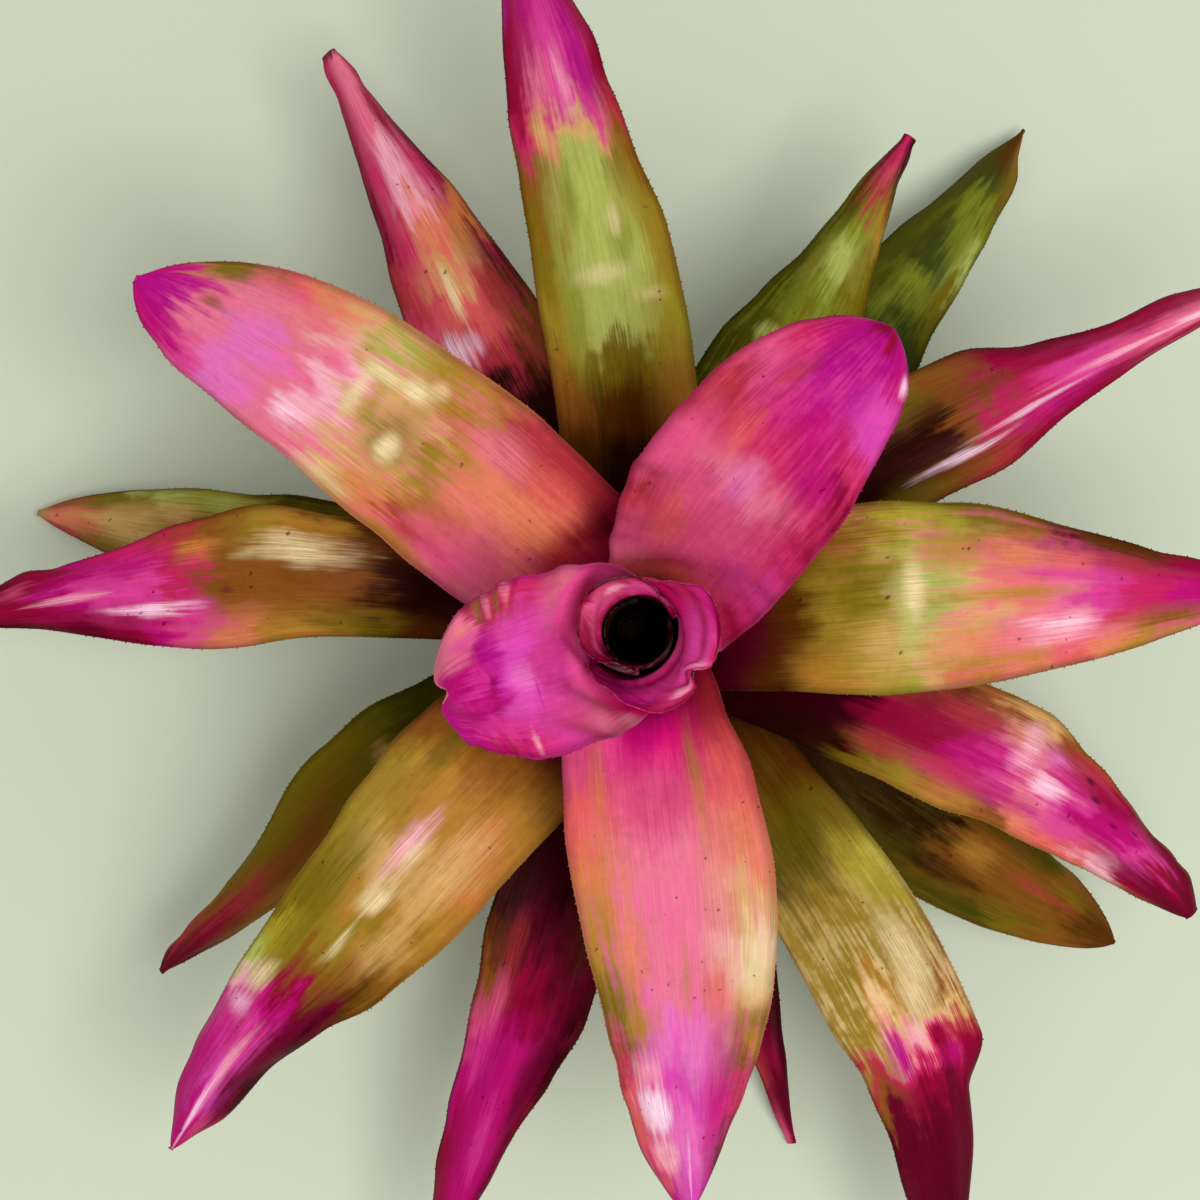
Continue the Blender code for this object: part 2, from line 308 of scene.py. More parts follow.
@dataclass
class LeafSurface:
    """The middle surface of one leaf, as a grid of points from the stem to the tip."""

    form: LeafForm
    seed: int
    sheath_count: int = 18
    tip_crowding: float = 1.15  # how much closer the rows lie towards the tip
    unevenness: float = 0.22
    notch_width: float = 2.4
    share: np.ndarray = field(init=False)
    side: np.ndarray = field(init=False)
    points: np.ndarray = field(init=False)
    normals: np.ndarray = field(init=False)

    def __post_init__(self) -> None:
        """Lays out the grid."""
        blade = self.form.rows - self.sheath_count
        self.share = 1 - (1 - np.arange(blade + 1) / blade) ** self.tip_crowding
        self.side = np.linspace(-1, 1, self.form.columns + 1)
        rows = np.concatenate((self.sheath_rows(), self.blade_rows()), 0)
        self.points = rows + self.grid_normals(rows) * self.relief()[:, :, None]
        self.normals = self.grid_normals(self.points)

    def sheath_rows(self) -> np.ndarray:
        """Rows round the axis, from the stem to just below the sheath's top."""
        form = self.form
        base = ROSETTE.base_height(form.layer)
        heights = np.linspace(base, form.sheath_top, self.sheath_count + 1)[:-1]
        radii = np.array([ROSETTE.sheath_radius(form.layer, h) for h in heights])
        slopes = np.array([ROSETTE.sheath_radius(form.layer, h + 0.5) for h in heights]) - radii
        rising = (heights - base) / (form.sheath_top - base)
        top_turn = form.foot_half_width() / ROSETTE.sheath_radius(form.layer, form.sheath_top)
        bend = mix(math.radians(form.wrap), top_turn, ease(rising))[:, None] * self.side
        facing = float(form.facing(np.zeros(1))[0])
        ring = polar(radii[:, None], facing + bend, heights[:, None])
        ahead = unit(polar(slopes, facing, np.full_like(slopes, 0.5)))
        across = np.broadcast_to(np.array((-math.sin(facing), math.cos(facing), 0.0)), ahead.shape)
        inward = np.cross(ahead, across)
        reach = radii[:, None, None]
        tilted = polar(radii, facing, heights)[:, None, :]
        tilted = tilted + across[:, None, :] * reach * np.sin(bend)[:, :, None]
        tilted = tilted + inward[:, None, :] * reach * (1 - np.cos(bend))[:, :, None]
        start = mix(ROSETTE.knee_height(form.layer, form.sheath_top), form.sheath_top, 0.5)
        share = np.clip((heights - start) / (form.sheath_top - start), 0, 1)[:, None, None]
        return ring * (1 - share) + tilted * share

    def blade_rows(self) -> np.ndarray:
        """Rows across the blade, from the sheath's top to the tip."""
        form, share = self.form, self.share
        line = form.profile(share)
        facing = form.facing(share)
        sideways = np.stack((-np.sin(facing), np.cos(facing), 0 * facing), -1)
        middle = polar(line[:, 0], facing, line[:, 1]) + sideways * follow(form.shift, share)[:, None]
        ahead = unit(np.gradient(middle, axis=0))
        across = unit(sideways - ahead * (ahead * sideways).sum(-1, keepdims=True))
        inward = np.cross(ahead, across)
        half = form.half_widths(share)
        turn = form.section_turns(share, half, form.foot_half_width() / line[0, 0])
        turn = np.where(np.abs(turn) < 1e-3, 1e-3, turn)
        right, left = (follow(stations, share)[:, None] for stations in (form.right, form.left))
        extra = np.where(self.side < 0, right, left)
        widening = 1 + extra / half[:, None] * np.abs(self.side) ** 0.7
        bend = turn[:, None] * self.side
        radius = (half / turn)[:, None]
        out = radius * np.sin(bend) * widening
        up = radius * (1 - np.cos(bend)) * widening
        ridge = np.sqrt(self.side**2 + 0.01) - 0.1
        up = up - follow(form.keel, share)[:, None] * ridge * (half / form.half_width)[:, None]
        depth, place = form.notch
        nick = depth * np.exp(-(((out - place) / self.notch_width) ** 2))
        nick = nick * ease((share - 0.7) / 0.3)[:, None]
        rows = middle[:, None, :] + across[:, None, :] * out[:, :, None]
        rows = rows - ahead[:, None, :] * nick[:, :, None]
        return rows + inward[:, None, :] * up[:, :, None]

    def relief(self) -> np.ndarray:
        """How far each point is raised: slow unevenness, waving margins and the leaf's own swells."""
        form = self.form
        share = np.concatenate((np.zeros(self.sheath_count), self.share))[:, None]
        side = np.broadcast_to(self.side[None, :], (len(share), len(self.side)))
        narrowing = form.half_widths(self.share) / form.half_width
        slimming = np.concatenate((np.ones(self.sheath_count), narrowing))
        random = np.random.default_rng(self.seed)
        height = np.zeros_like(side)
        for _ in range(6):
            along, across, turn = random.uniform(1.5, 6), random.uniform(0.3, 1.6), random.uniform(0, 6.3)
            height = height + self.unevenness * np.sin(FULL_TURN * (along * share + across * side) + turn)
        for edge in (-1, 1):
            turn = random.uniform(0, 6.3)
            margin = ease((side * edge - 0.45) / 0.55) * form.wave
            beat = np.sin(FULL_TURN * form.waves * share + turn)
            beat = beat + 0.5 * np.sin(FULL_TURN * form.waves * 2.3 * share + 2 * turn)
            height = height + margin * beat
        for swell in form.swells:
            height = height + swell.raise_from(share, side)
        return height * ease(share / 0.25) * slimming[:, None]

    @staticmethod
    def grid_normals(points: np.ndarray) -> np.ndarray:
        """Normals of a grid of points, on the side that faces the axis and the sky."""
        return unit(np.cross(np.gradient(points, axis=0), np.gradient(points, axis=1)))

    def sheath_part(self) -> float:
        """The sheath's share of the whole leaf's length."""
        run = running_length(self.points[:, self.points.shape[1] // 2])
        return float(run[self.sheath_count] / run[-1])

    def leaf_map(self) -> np.ndarray:
        """The leaf's map: across it from 0 to 1, and along it from foot to tip."""
        sheath = self.sheath_part()
        low = np.arange(self.sheath_count) / self.sheath_count * sheath
        along = np.concatenate((low, sheath + (1 - sheath) * self.share))
        return np.stack(np.broadcast_arrays((self.side + 1) / 2, along[:, None]), -1)


# ---- Colours and finishes ----


class Hue(Enum):
    """The plant's colours, as they look in plain light, and the pale and dark ones that also serve as
    painted highlights and painted shade on the leaves.
    """

    LILAC = "CB42A2"
    ORCHID = "DA6CB2"
    VIOLET = "A80A78"
    MAGENTA = "B00C6A"
    CERISE = "CC3A88"
    ROSE = "CE4C78"
    PINK = "DC7088"
    BLUSH = "EBA6B4"
    GLINT = "F4CCE0"
    # Used only for painted highlights.
    NEON = "FC58A8"
    FUCHSIA = "E81480"
    BERRY = "BA2056"
    BRICK = "A42E36"
    SALMON = "D45A56"
    CORAL = "D67858"
    ORANGE = "C4743A"
    OCHRE = "A8782A"
    KHAKI = "8E7620"
    TAN = "CCA062"
    CREAM = "DEC898"
    LIME = "A6AE58"
    PEAR = "9C9226"
    GREEN = "747A20"
    OLIVE = "6E5E0C"
    MOSS = "423E06"
    PINE = "363E12"
    UMBER = "7E4A16"
    BROWN = "502A04"
    PEAT = "240C00"
    CRIMSON = "880430"
    MAROON = "5C021E"
    WINE = "34000C"
    STRAW = "A88450"
    SCURF = "C9C3B4"
    BARK = "6B5238"
    PITH = "CDB98C"

    def linear(self) -> tuple[float, float, float, float]:
        """The colour as linear light, with an alpha of 1."""
        channels = [int(self.value[start : start + 2], 16) / 255 for start in (0, 2, 4)]
        light = [c / 12.92 if c <= 0.04045 else ((c + 0.055) / 1.055) ** 2.4 for c in channels]
        return (light[0], light[1], light[2], 1.0)


Stops = tuple[float | Hue, ...]
Socket = bpy.types.NodeSocket
Value = float | tuple[float, ...] | Socket | Hue


class Wiring:
    """Adds nodes to one node tree and joins them."""

    def __init__(self, tree: bpy.types.NodeTree) -> None:
        """Starts with the tree's own nodes."""
        self.tree = tree
        self.count = 0

    def node(self, kind: str, **settings: object) -> bpy.types.Node:
        """Adds a node.

        Args:
            kind: The shader node's type name, without its first words.
            settings: Its properties.

        Returns:
            The node.
        """
        made = self.tree.nodes.new("ShaderNode" + kind)
        made.location = (180 * (self.count % 12), -220 * (self.count // 12))
        self.count += 1
        for name, value in settings.items():
            setattr(made, name, value)
        return made

    def feed(self, socket: Socket, value: Value) -> None:
        """Links a socket, or sets its constant.

        Args:
            socket: The input to feed.
            value: A socket to link from, or a number, a vector or a hue.
        """
        if isinstance(value, Socket):
            self.tree.links.new(value, socket)
        else:
            socket.default_value = value.linear() if isinstance(value, Hue) else value

    def fed(self, made: bpy.types.Node, *values: Value, start: int = 0) -> bpy.types.Node:
        """Feeds a node's inputs in their order.

        Args:
            made: The node.
            values: What its inputs take.
            start: The number of the first of these inputs.

        Returns:
            The node.
        """
        for socket, value in zip(made.inputs[start:], values):
            self.feed(socket, value)
        return made

    def named(self, made: bpy.types.Node, **values: Value) -> bpy.types.NodeOutputs:
        """Feeds a node's inputs by name.

        Args:
            made: The node.
            values: What each input takes, with the spaces of its name written as underscores.

        Returns:
            The node's outputs.
        """
        for name, value in values.items():
            self.feed(made.inputs[name.replace("_", " ")], value)
        return made.outputs

    def math(self, operation: str, *values: Value, clamp: bool = False) -> Socket:
        """The result of a Math node."""
        return self.fed(self.node("Math", operation=operation, use_clamp=clamp), *values).outputs[0]

    def times(self, first: Value, second: Value) -> Socket:
        """Two values multiplied."""
        return self.math("MULTIPLY", first, second)

    def less(self, first: Value, second: Value) -> Socket:
        """The first value less the second."""
        return self.math("SUBTRACT", first, second)

    def line(self, value: Value, slope: Value, start: Value) -> Socket:
        """A value times a slope, and a start added."""
        return self.math("MULTIPLY_ADD", value, slope, start)

    def vector(self, x: Value, y: Value, z: Value) -> Socket:
        """Three values as one vector."""
        return self.fed(self.node("CombineXYZ"), x, y, z).outputs[0]

    def parts(self, vector: Value) -> bpy.types.NodeOutputs:
        """A vector's three values."""
        return self.fed(self.node("SeparateXYZ"), vector).outputs

    def scaled(self, vector: Value, scale: Value) -> Socket:
        """A vector or a colour times a number."""
        made = self.node("VectorMath", operation="SCALE")
        return self.named(made, Vector=vector, Scale=scale)[0]

    def added(self, first: Value, second: Value) -> Socket:
        """Two vectors added."""
        return self.fed(self.node("VectorMath", operation="ADD"), first, second).outputs[0]

    def spread(self, value: Value, low: float, high: float, start: float = 0.0, end: float = 1.0) -> Socket:
        """Maps low..high smoothly to start..end."""
        made = self.node("MapRange", interpolation_type="SMOOTHSTEP")
        return self.fed(made, value, low, high, start, end).outputs[0]

    def mixed(self, share: Value, first: Value, second: Value) -> Socket:
        """Two colours mixed by a share of the second."""
        made = self.fed(self.node("Mix", data_type="RGBA"), share)
        return self.fed(made, first, second, start=6).outputs[2]

    def noise(self, vector: Socket, scale: Value = 1.0, detail: float = 2.0, rough: float = 0.55) -> Socket:
        """Noise from 0 to 1."""
        made = self.node("TexNoise", noise_dimensions="3D")
        return self.named(made, Vector=vector, Scale=scale, Detail=detail, Roughness=rough)[0]

    def cells(self, vector: Socket, scale: Value) -> bpy.types.NodeOutputs:
        """The distance and the colour of the nearest of many scattered cells."""
        return self.named(self.node("TexVoronoi", feature="F1"), Vector=vector, Scale=scale)

    def group(self, tree: bpy.types.NodeTree, **values: Value) -> bpy.types.NodeOutputs:
        """Places a node group and feeds its inputs by name."""
        return self.named(self.node("Group", node_tree=tree), **values)


class Group:
    """A shader node group in the making."""

    def __init__(self, name: str, outputs: str, places: str = "", **numbers: float) -> None:
        """Starts the group.

        Args:
            name: The group's name.
            outputs: The names of its outputs, which are all numbers.
            places: The name of its vector input, where it has one.
            numbers: Each number input with its default, its spaces written as underscores.
        """
        self.tree = bpy.data.node_groups.new(name, "ShaderNodeTree")
        if places:
            self.tree.interface.new_socket(places, in_out="INPUT", socket_type="NodeSocketVector")
        for title, default in numbers.items():
            title = title.replace("_", " ")
            made = self.tree.interface.new_socket(title, in_out="INPUT", socket_type="NodeSocketFloat")
            made.default_value = default
        for title in outputs.split():
            self.tree.interface.new_socket(title, in_out="OUTPUT", socket_type="NodeSocketFloat")
        self.wiring = Wiring(self.tree)
        entry = self.tree.nodes.new("NodeGroupInput")
        entry.location = (-180, 0)
        self.leaving = self.tree.nodes.new("NodeGroupOutput")
        self.leaving.location = (180 * 12, 0)
        self.given = [socket for socket in entry.outputs if socket.name]

    def finished(self, *results: Socket) -> bpy.types.NodeTree:
        """Feeds the group's outputs in their order and hands the group over."""
        self.wiring.fed(self.leaving, *results)
        return self.tree


class Finish:
    """A material in the making: its wiring and its shader."""

    def __init__(self, name: str) -> None:
        """Starts the material.

        Args:
            name: Its name.
        """
        self.material = bpy.data.materials.new(name)
        self.material.use_nodes = True
        self.wiring = Wiring(self.material.node_tree)
        self.shader = self.material.node_tree.nodes["Principled BSDF"]

    def position(self) -> Socket:
        """The place on the object itself."""
        return self.wiring.node("TexCoord").outputs["Object"]

    def raised(self, height: Value, strength: float, distance: float) -> None:
        """Raises the surface by a bump.

        Args:
            height: Its height, from 0 to 1.
            strength: How strongly it shows.
            distance: Its depth in metres.
        """
        bump = self.wiring.node("Bump")
        bump = self.wiring.named(bump, Height=height, Strength=strength, Distance=distance)
        self.wiring.named(self.shader, Normal=bump[0])

    def coated(self, colour: Value, rough: Value, specular: float) -> bpy.types.Material:
        """Gives the material its colour, roughness and specular level, and hands it over."""
        self.wiring.named(self.shader, Base_Color=colour, Roughness=rough, Specular_IOR_Level=specular)
        return self.material


class LeafEffects:
    """The node groups that all the leaves' finishes are made from."""

    def __init__(self) -> None:
        """Builds each group once."""
        self.place = self.build_place()
        self.veins = self.build_veins()
        self.patch = self.build_patch()
        self.specks = self.build_specks()
        self.skin = self.build_skin()

    @staticmethod
    def build_place() -> bpy.types.NodeTree:
        """Turns the leaf's map into its share along the blade, its side and the nearness of a margin."""
        group = Group("leaf place", "Share Side Margin", places="Map", Sheath=0.3)
        w, (leaf_map, sheath) = group.wiring, group.given
        across, along, _ = w.parts(leaf_map)
        share = w.math("DIVIDE", w.less(along, sheath), w.less(1.0, sheath))
        side = w.line(across, 2.0, -1.0)
        return group.finished(share, side, w.math("ABSOLUTE", side))

    @staticmethod
    def build_veins() -> bpy.types.NodeTree:
        """Streaks that run along the leaf, from 0 to 1."""
        group = Group("vein streaks", "Streak", Share=0.0, Side=0.0, Across=10.0, Along=1.5, Seed=0.0)
        w, (share, side, across, along, seed) = group.wiring, group.given
        place = w.vector(w.times(side, across), w.times(share, along), seed)
        return group.finished(w.spread(w.noise(place, 1.0, 2.5, 0.6), 0.2, 0.8))

    @staticmethod
    def build_patch() -> bpy.types.NodeTree:
        """The mask of one patch of colour, with an edge that breaks up along the veins."""
        inputs = {"Share": 0.0, "Side": 0.0, "Streak": 0.5, "Hair": 0.5, "At_Share": 0.5, "At_Side": 0.0}
        group = Group("colour patch", "Mask", **inputs, Long=0.2, Wide=0.4, Ragged=2.2, Strength=1.0)
        w = group.wiring
        share, side, streak, hair, at_share, at_side, long, wide, ragged, strength = group.given
        along = w.math("DIVIDE", w.less(share, at_share), long)
        across = w.math("DIVIDE", w.less(side, at_side), wide)
        square = w.line(along, along, w.times(across, across))
        broken = w.times(w.less(streak, 0.5), ragged)
        mask = w.spread(w.math("ADD", w.math("SQRT", square), broken), 1.55, 0.15)
        combed = w.times(mask, w.line(hair, 0.9, 0.5))
        return group.finished(w.math("MULTIPLY", combed, strength, clamp=True))

    @staticmethod
    def build_specks() -> bpy.types.NodeTree:
        """Sparse dark freckles of uneven size, gathered in loose clusters."""
        group = Group("freckles", "Mask", places="Place", Scale=260.0, Amount=0.2, Seed=0.0)
        w, (place, scale, amount, seed) = group.wiring, group.given
        moved = w.added(place, w.vector(seed, 0.0, 0.0))
        uneven = w.added(moved, w.scaled(w.noise(moved, 700.0, 1.0), 0.0022))
        cells = w.cells(uneven, scale)
        lot = w.fed(w.node("SeparateColor"), cells["Color"]).outputs
        crowd = w.spread(w.noise(moved, 45.0, 1.0), 0.45, 0.7)
        chosen = w.math("LESS_THAN", lot[0], w.times(amount, w.line(crowd, 1.6, 0.2)))
        near = w.spread(w.math("DIVIDE", cells["Distance"], w.line(lot[1], 0.16, 0.06)), 1.1, 0.2)
        return group.finished(w.times(near, chosen))

    @staticmethod
    def build_skin() -> bpy.types.NodeTree:
        """The leaf's fine relief: parallel veins, rows of pores and faint cross wrinkles."""
        group = Group("leaf skin", "Height", Share=0.0, Side=0.0, Length=200.0, Seed=0.0)
        w, (share, side, length, seed) = group.wiring, group.given
        run = w.times(share, length)
        fibres, pores, folds = (
            w.noise(w.vector(w.times(side, across), w.times(run, along), seed))
            for across, along in ((42.0, 0.05), (60.0, 0.9), (1.6, 0.11))
        )
        return group.finished(w.line(folds, 0.9, w.line(fibres, 0.5, w.times(pores, 0.18))))


@dataclass(frozen=True)
class Patch:
    """A soft patch of one colour on a leaf: a mark of the leaf's own colour, a painted highlight, or painted
    shade in a dent or crease. All but the raggedness of its edge is in percent.
    """

    hue: Hue
    share: float  # where its middle is along the blade
    side: float  # where its middle is across it: -100 and 100 are the margins
    long: float
    wide: float
    strength: float
    ragged: float = 2.2


@dataclass(frozen=True)
class LeafPaint:
    """How one leaf is coloured from its foot to its tip: down each half and along the middle.

    A ramp is a row of percents along the blade, each with its hue. Ramps and patches hold painted shade and
    painted highlights as well as the leaf's own colours.
    """

    right: Stops
    middle: Stops
    left: Stops
    patches: tuple[Stops, ...] = ()  # the values of one Patch each
    margin: Hue = Hue.CORAL
    margin_strength: float = 0.3
    streaks: Hue = Hue.OCHRE
    streak_strength: float = 0.35
    streak_end: float = 1.1  # where along the blade streaks and margin stop
    ragged: float = 0.16  # how far the veins draw the ramps' colours out
    freckles: float = 0.12
    freckle_strength: float = 0.75
    dry_tip: float = 1.2  # where along the blade it is dry: above 1 is nowhere
    rim_strength: float = 0.5  # of the margin's colour on its very edge
    scurf_strength: float = 0.4  # of the pale bands underneath
    gloss: Hue = Hue.PINK
    specular: float = 0.14
    skin_strength: float = 0.35
    skin_depth: float = 0.0006

    def material(self, name: str, effects: LeafEffects, surface: LeafSurface) -> bpy.types.Material:
        """Builds the leaf's material.

        Args:
            name: The material's name.
            effects: The shared node groups.
            surface: The leaf it is for.

        Returns:
            The material, whose pattern follows the leaf's own map.
        """
        coat = LeafCoat(name, self, effects, surface)
        coat.lay_ramps()
        coat.lay_streaks()
        for row in self.patches:
            coat.lay_patch(Patch(*row))
        coat.lay_shade()
        coat.lay_wear()
        coat.lay_scurf()
        return coat.polished()


class LeafCoat(Finish):
    """One leaf's material in the making, laid coat by coat over the colour so far."""

    def __init__(self, name: str, paint: LeafPaint, effects: LeafEffects, surface: LeafSurface) -> None:
        """Finds the place on the leaf and the streaks there.

        Args:
            name: The material's name.
            paint: How the leaf is coloured.
            effects: The shared node groups.
            surface: The leaf it is for.
        """
        super().__init__(name)
        w = self.wiring
        self.paint, self.effects = paint, effects
        self.seed, self.length = float(surface.seed), surface.form.blade_length()
        leaf_map, sheath = w.node("UVMap", uv_map=LEAF_MAP).outputs[0], surface.sheath_part()
        self.share, self.side, self.margin = w.group(effects.place, Map=leaf_map, Sheath=sheath)
        self.at = {"Share": self.share, "Side": self.side}
        self.broad = self.streaks(0, 3.5, 45.0)
        self.blotch = self.streaks(1, surface.form.half_width / 8, 15.0)
        self.fine = self.streaks(2, 15.0, 26.0)
        self.hair = self.streaks(3, 56.0, 20.0)
        self.woven = w.line(self.fine, 0.35, w.line(self.blotch, 0.3, w.times(self.broad, 0.35)))
        self.place = self.position()
        self.grain = w.noise(self.place, 420.0, 3.0, 0.6)
        self.drawn = self.draw_out()
        self.under = w.node("Attribute", attribute_name=UNDERSIDE).outputs["Fac"]

        # The body of the blade: not its foot, and not past the end of the streaks
        low, high = paint.streak_end + 0.03, paint.streak_end - 0.05
        self.body = w.times(w.spread(self.share, 0.28, 0.5), w.spread(self.drawn, low, high))
        self.calm = w.spread(self.share, 0.99, 0.88)
        self.calm_body = w.times(self.calm, self.body)

    def streaks(self, kind: int, across: float, length: float) -> Socket:
        """One kind of streaks: their number across half the leaf, and their length in millimetres."""
        sizes = {"Across": across, "Along": self.length / length, "Seed": self.seed + kind}
        return self.wiring.group(self.effects.veins, **self.at, **sizes)[0]

    def draw_out(self) -> Socket:
        """The share along the blade, drawn out along the veins."""
        w = self.wiring
        drawn = w.math("ADD", w.line(self.broad, 0.5, w.times(self.blotch, 0.5)), w.times(self.hair, 0.25))
        # Less near the foot, so that the painted shade there stays smooth.
        drawn = w.times(w.less(drawn, 0.62), w.spread(self.share, 0.15, 0.5, 0.15))
        return w.line(drawn, self.paint.ragged, self.share)

    def wavering(self, value: Socket, strength: float) -> Socket:
        """A value that wavers with the fine streaks."""
        return self.wiring.line(self.wiring.less(self.fine, 0.5), strength, value)

    def cover(self, share: Socket, colour: Hue) -> None:
        """Covers a share of the colour so far with another one."""
        self.colour = self.wiring.mixed(share, self.colour, colour)

    def ramp(self, stops: Stops) -> Socket:
        """The colour of a ramp at the drawn-out share.

        Args:
            stops: Percents along the blade, each with its hue.

        Returns:
            The colour.
        """
        made = self.wiring.fed(self.wiring.node("ValToRGB"), self.drawn)
        scale = made.color_ramp
        scale.interpolation = "EASE"
        for number, (percent, hue) in enumerate(zip(stops[::2], stops[1::2])):
            stop = scale.elements[number] if number < 2 else scale.elements.new(percent / 100)
            stop.position = percent / 100
            stop.color = hue.linear()
        return made.outputs[0]

    def lay_ramps(self) -> None:
        """Lays the middle's ramp, and each half's over it towards the margins."""
        w, paint = self.wiring, self.paint
        sway = w.line(w.less(self.woven, 0.5), 0.4, self.side)
        right, middle, left = (self.ramp(stops) for stops in (paint.right, paint.middle, paint.left))
        colour = w.mixed(w.spread(sway, -0.15, -0.85), middle, right)
        self.colour = w.mixed(w.spread(sway, 0.15, 0.85), colour, left)

    def lay_streaks(self) -> None:
        """Lays the streaks along the veins and the margins' colour."""
        w, paint = self.wiring, self.paint
        streak = w.line(self.fine, 0.45, w.line(self.blotch, 0.3, w.times(self.grain, 0.25)))
        streak = w.times(w.spread(streak, 0.42, 0.66), w.times(self.calm, paint.streak_strength))
        self.cover(w.times(streak, self.body), paint.streaks)
        edge = w.spread(self.wavering(self.margin, 0.12), 0.82, 1.0)
        self.cover(w.times(edge, w.times(self.calm_body, paint.margin_strength)), paint.margin)

    def lay_patch(self, patch: Patch) -> None:
        """Lays one soft patch.

        Args:
            patch: The patch.
        """
        percents = {"At_Share": patch.share, "At_Side": patch.side, "Long": patch.long, "Wide": patch.wide}
        percents["Strength"] = patch.strength
        sizes = {name: percent / 100 for name, percent in percents.items()}
        edge = {"Streak": self.woven, "Hair": self.hair, "Ragged": patch.ragged}
        self.cover(self.wiring.group(self.effects.patch, **self.at, **sizes, **edge)[0], patch.hue)

    def lay_shade(self) -> None:
        """Lightens and darkens along the veins, and darkens the margins."""
        w = self.wiring
        shade = w.line(self.grain, 0.34, w.line(self.fine, 0.16, w.line(self.hair, 0.2, 0.82)))
        shade = w.line(self.blotch, 0.16, w.less(shade, 0.23))
        shade = w.times(shade, w.line(w.spread(self.margin, 0.88, 1.0), -0.42, 1.02))
        self.colour = w.scaled(self.colour, shade)

    def lay_wear(self) -> None:
        """Lays freckles, the dry tip and the rim."""
        w, paint = self.wiring, self.paint
        freckle = w.group(self.effects.specks, Place=self.place, Amount=paint.freckles, Seed=self.seed)[0]
        freckle = w.times(freckle, w.times(w.spread(self.share, 0.0, 0.15), paint.freckle_strength))
        self.cover(freckle, Hue.WINE)
        self.dry = w.spread(self.wavering(self.share, 0.03), paint.dry_tip - 0.02, paint.dry_tip + 0.012)
        self.cover(self.dry, Hue.STRAW)
        rim = w.spread(self.margin, 0.975, 1.0, 0.0, paint.rim_strength)
        self.cover(w.times(rim, self.calm_body), paint.margin)

    def lay_scurf(self) -> None:
        """Lays pale scurf bands on the underside."""
        w = self.wiring
        bands = w.noise(w.vector(w.times(self.side, 3.0), w.times(self.share, 38.0), self.seed), 1.0, 3.0)
        scurf = w.times(w.spread(bands, 0.42, 0.66), w.line(self.hair, 0.5, 0.25))
        self.cover(w.times(self.under, w.times(scurf, self.paint.scurf_strength)), Hue.SCURF)

    def polished(self) -> bpy.types.Material:
        """Adds the skin's relief and gloss, and hands the material over."""
        w, paint = self.wiring, self.paint
        rough = w.line(self.hair, 0.12, w.line(self.blotch, 0.1, 0.28))
        rough = w.line(self.dry, 0.3, w.line(self.under, 0.16, rough))
        skin = w.group(self.effects.skin, **self.at, Length=self.length, Seed=self.seed)[0]
        self.raised(skin, paint.skin_strength, paint.skin_depth)
        w.named(self.shader, Specular_Tint=paint.gloss)
        return self.coated(self.colour, rough, paint.specular)


class StemEffects:
    """The node groups that the stem's finishes are made from."""

    def __init__(self) -> None:
        """Builds each group once."""
        self.bark = self.build_bark()

    @staticmethod
    def build_bark() -> bpy.types.NodeTree:
        """Fibrous bark round an upright axis: long fibres, the rings of leaf scars and fine pits."""
        inputs = {"Fibre_Scale": 30.0, "Ring_Spacing": 0.0026}
        group = Group("fibrous bark", "Fibre Ring Pits", places="Place", **inputs)
        w, (place, fibre_scale, ring_spacing) = group.wiring, group.given
        x, y, z = w.parts(place)
        angle = w.math("ARCTAN2", y, x)
        circle = w.vector(w.math("COSINE", angle), w.math("SINE", angle), w.times(z, 22.0))
        fibre = w.spread(w.noise(w.scaled(circle, fibre_scale), 1.0, 4.0, 0.6), 0.32, 0.68)
        sway = w.times(w.less(w.noise(place, 160.0, 2.0), 0.5), 2.2)
        wave = w.math("SINE", w.times(w.math("ADD", w.math("DIVIDE", z, ring_spacing), sway), FULL_TURN))
        return group.finished(fibre, w.spread(wave, 0.35, 1.0), w.noise(place, 1400.0, 3.0, 0.6))


@dataclass(frozen=True)
class StemFinish:
    """Brown fibrous bark, and a pale cut foot dotted with the ends of its fibres."""

    bark: Hue = Hue.BARK
    dark: Hue = Hue.PEAT
    pith: Hue = Hue.PITH
    cut_height: tuple[float, float] = (0.00035, 0.0001)  # between these the bark gives way to the cut
    rind: tuple[float, float] = (0.0122, 0.0138)  # radii between which the cut turns dark
    bundle_scale: float = 900.0  # how closely the fibres' ends lie
    specular: float = 0.25
    bark_strength: float = 0.6
    bark_depth: float = 0.0006

    def material(self, effects: StemEffects) -> bpy.types.Material:
        """Builds the stem's material.

        Args:
            effects: The shared node groups of the stem.

        Returns:
            The material, laid out on the stem's own upright axis.
        """
        finish = Finish("stem_bark")
        w, place = finish.wiring, finish.position()
        fibre, ring, pits = w.group(effects.bark, Place=place)
        colour = w.mixed(fibre, self.dark, self.bark)
        colour = w.mixed(w.times(ring, 0.7), colour, self.dark)
        x, y, z = w.parts(place)
        flat = w.vector(x, y, 0.0)
        radius = w.fed(w.node("VectorMath", operation="LENGTH"), flat).outputs["Value"]
        bundles = w.spread(w.cells(flat, self.bundle_scale)["Distance"], 0.32, 0.16)
        tissue = w.mixed(w.noise(flat, 420.0, 4.0), self.pith, Hue.STRAW)
        tissue = w.mixed(w.times(bundles, 0.75), tissue, Hue.BARK)
        rind = w.spread(w.line(w.noise(flat, 300.0, 2.0), 0.0016, radius), *self.rind)
        tissue = w.mixed(rind, tissue, self.dark)
        colour = w.mixed(w.spread(z, *self.cut_height), colour, tissue)
        relief = w.line(fibre, 0.6, w.line(ring, -0.8, w.times(pits, 0.5)))
        finish.raised(relief, self.bark_strength, self.bark_depth)
        return finish.coated(colour, w.line(pits, 0.25, 0.6), self.specular)


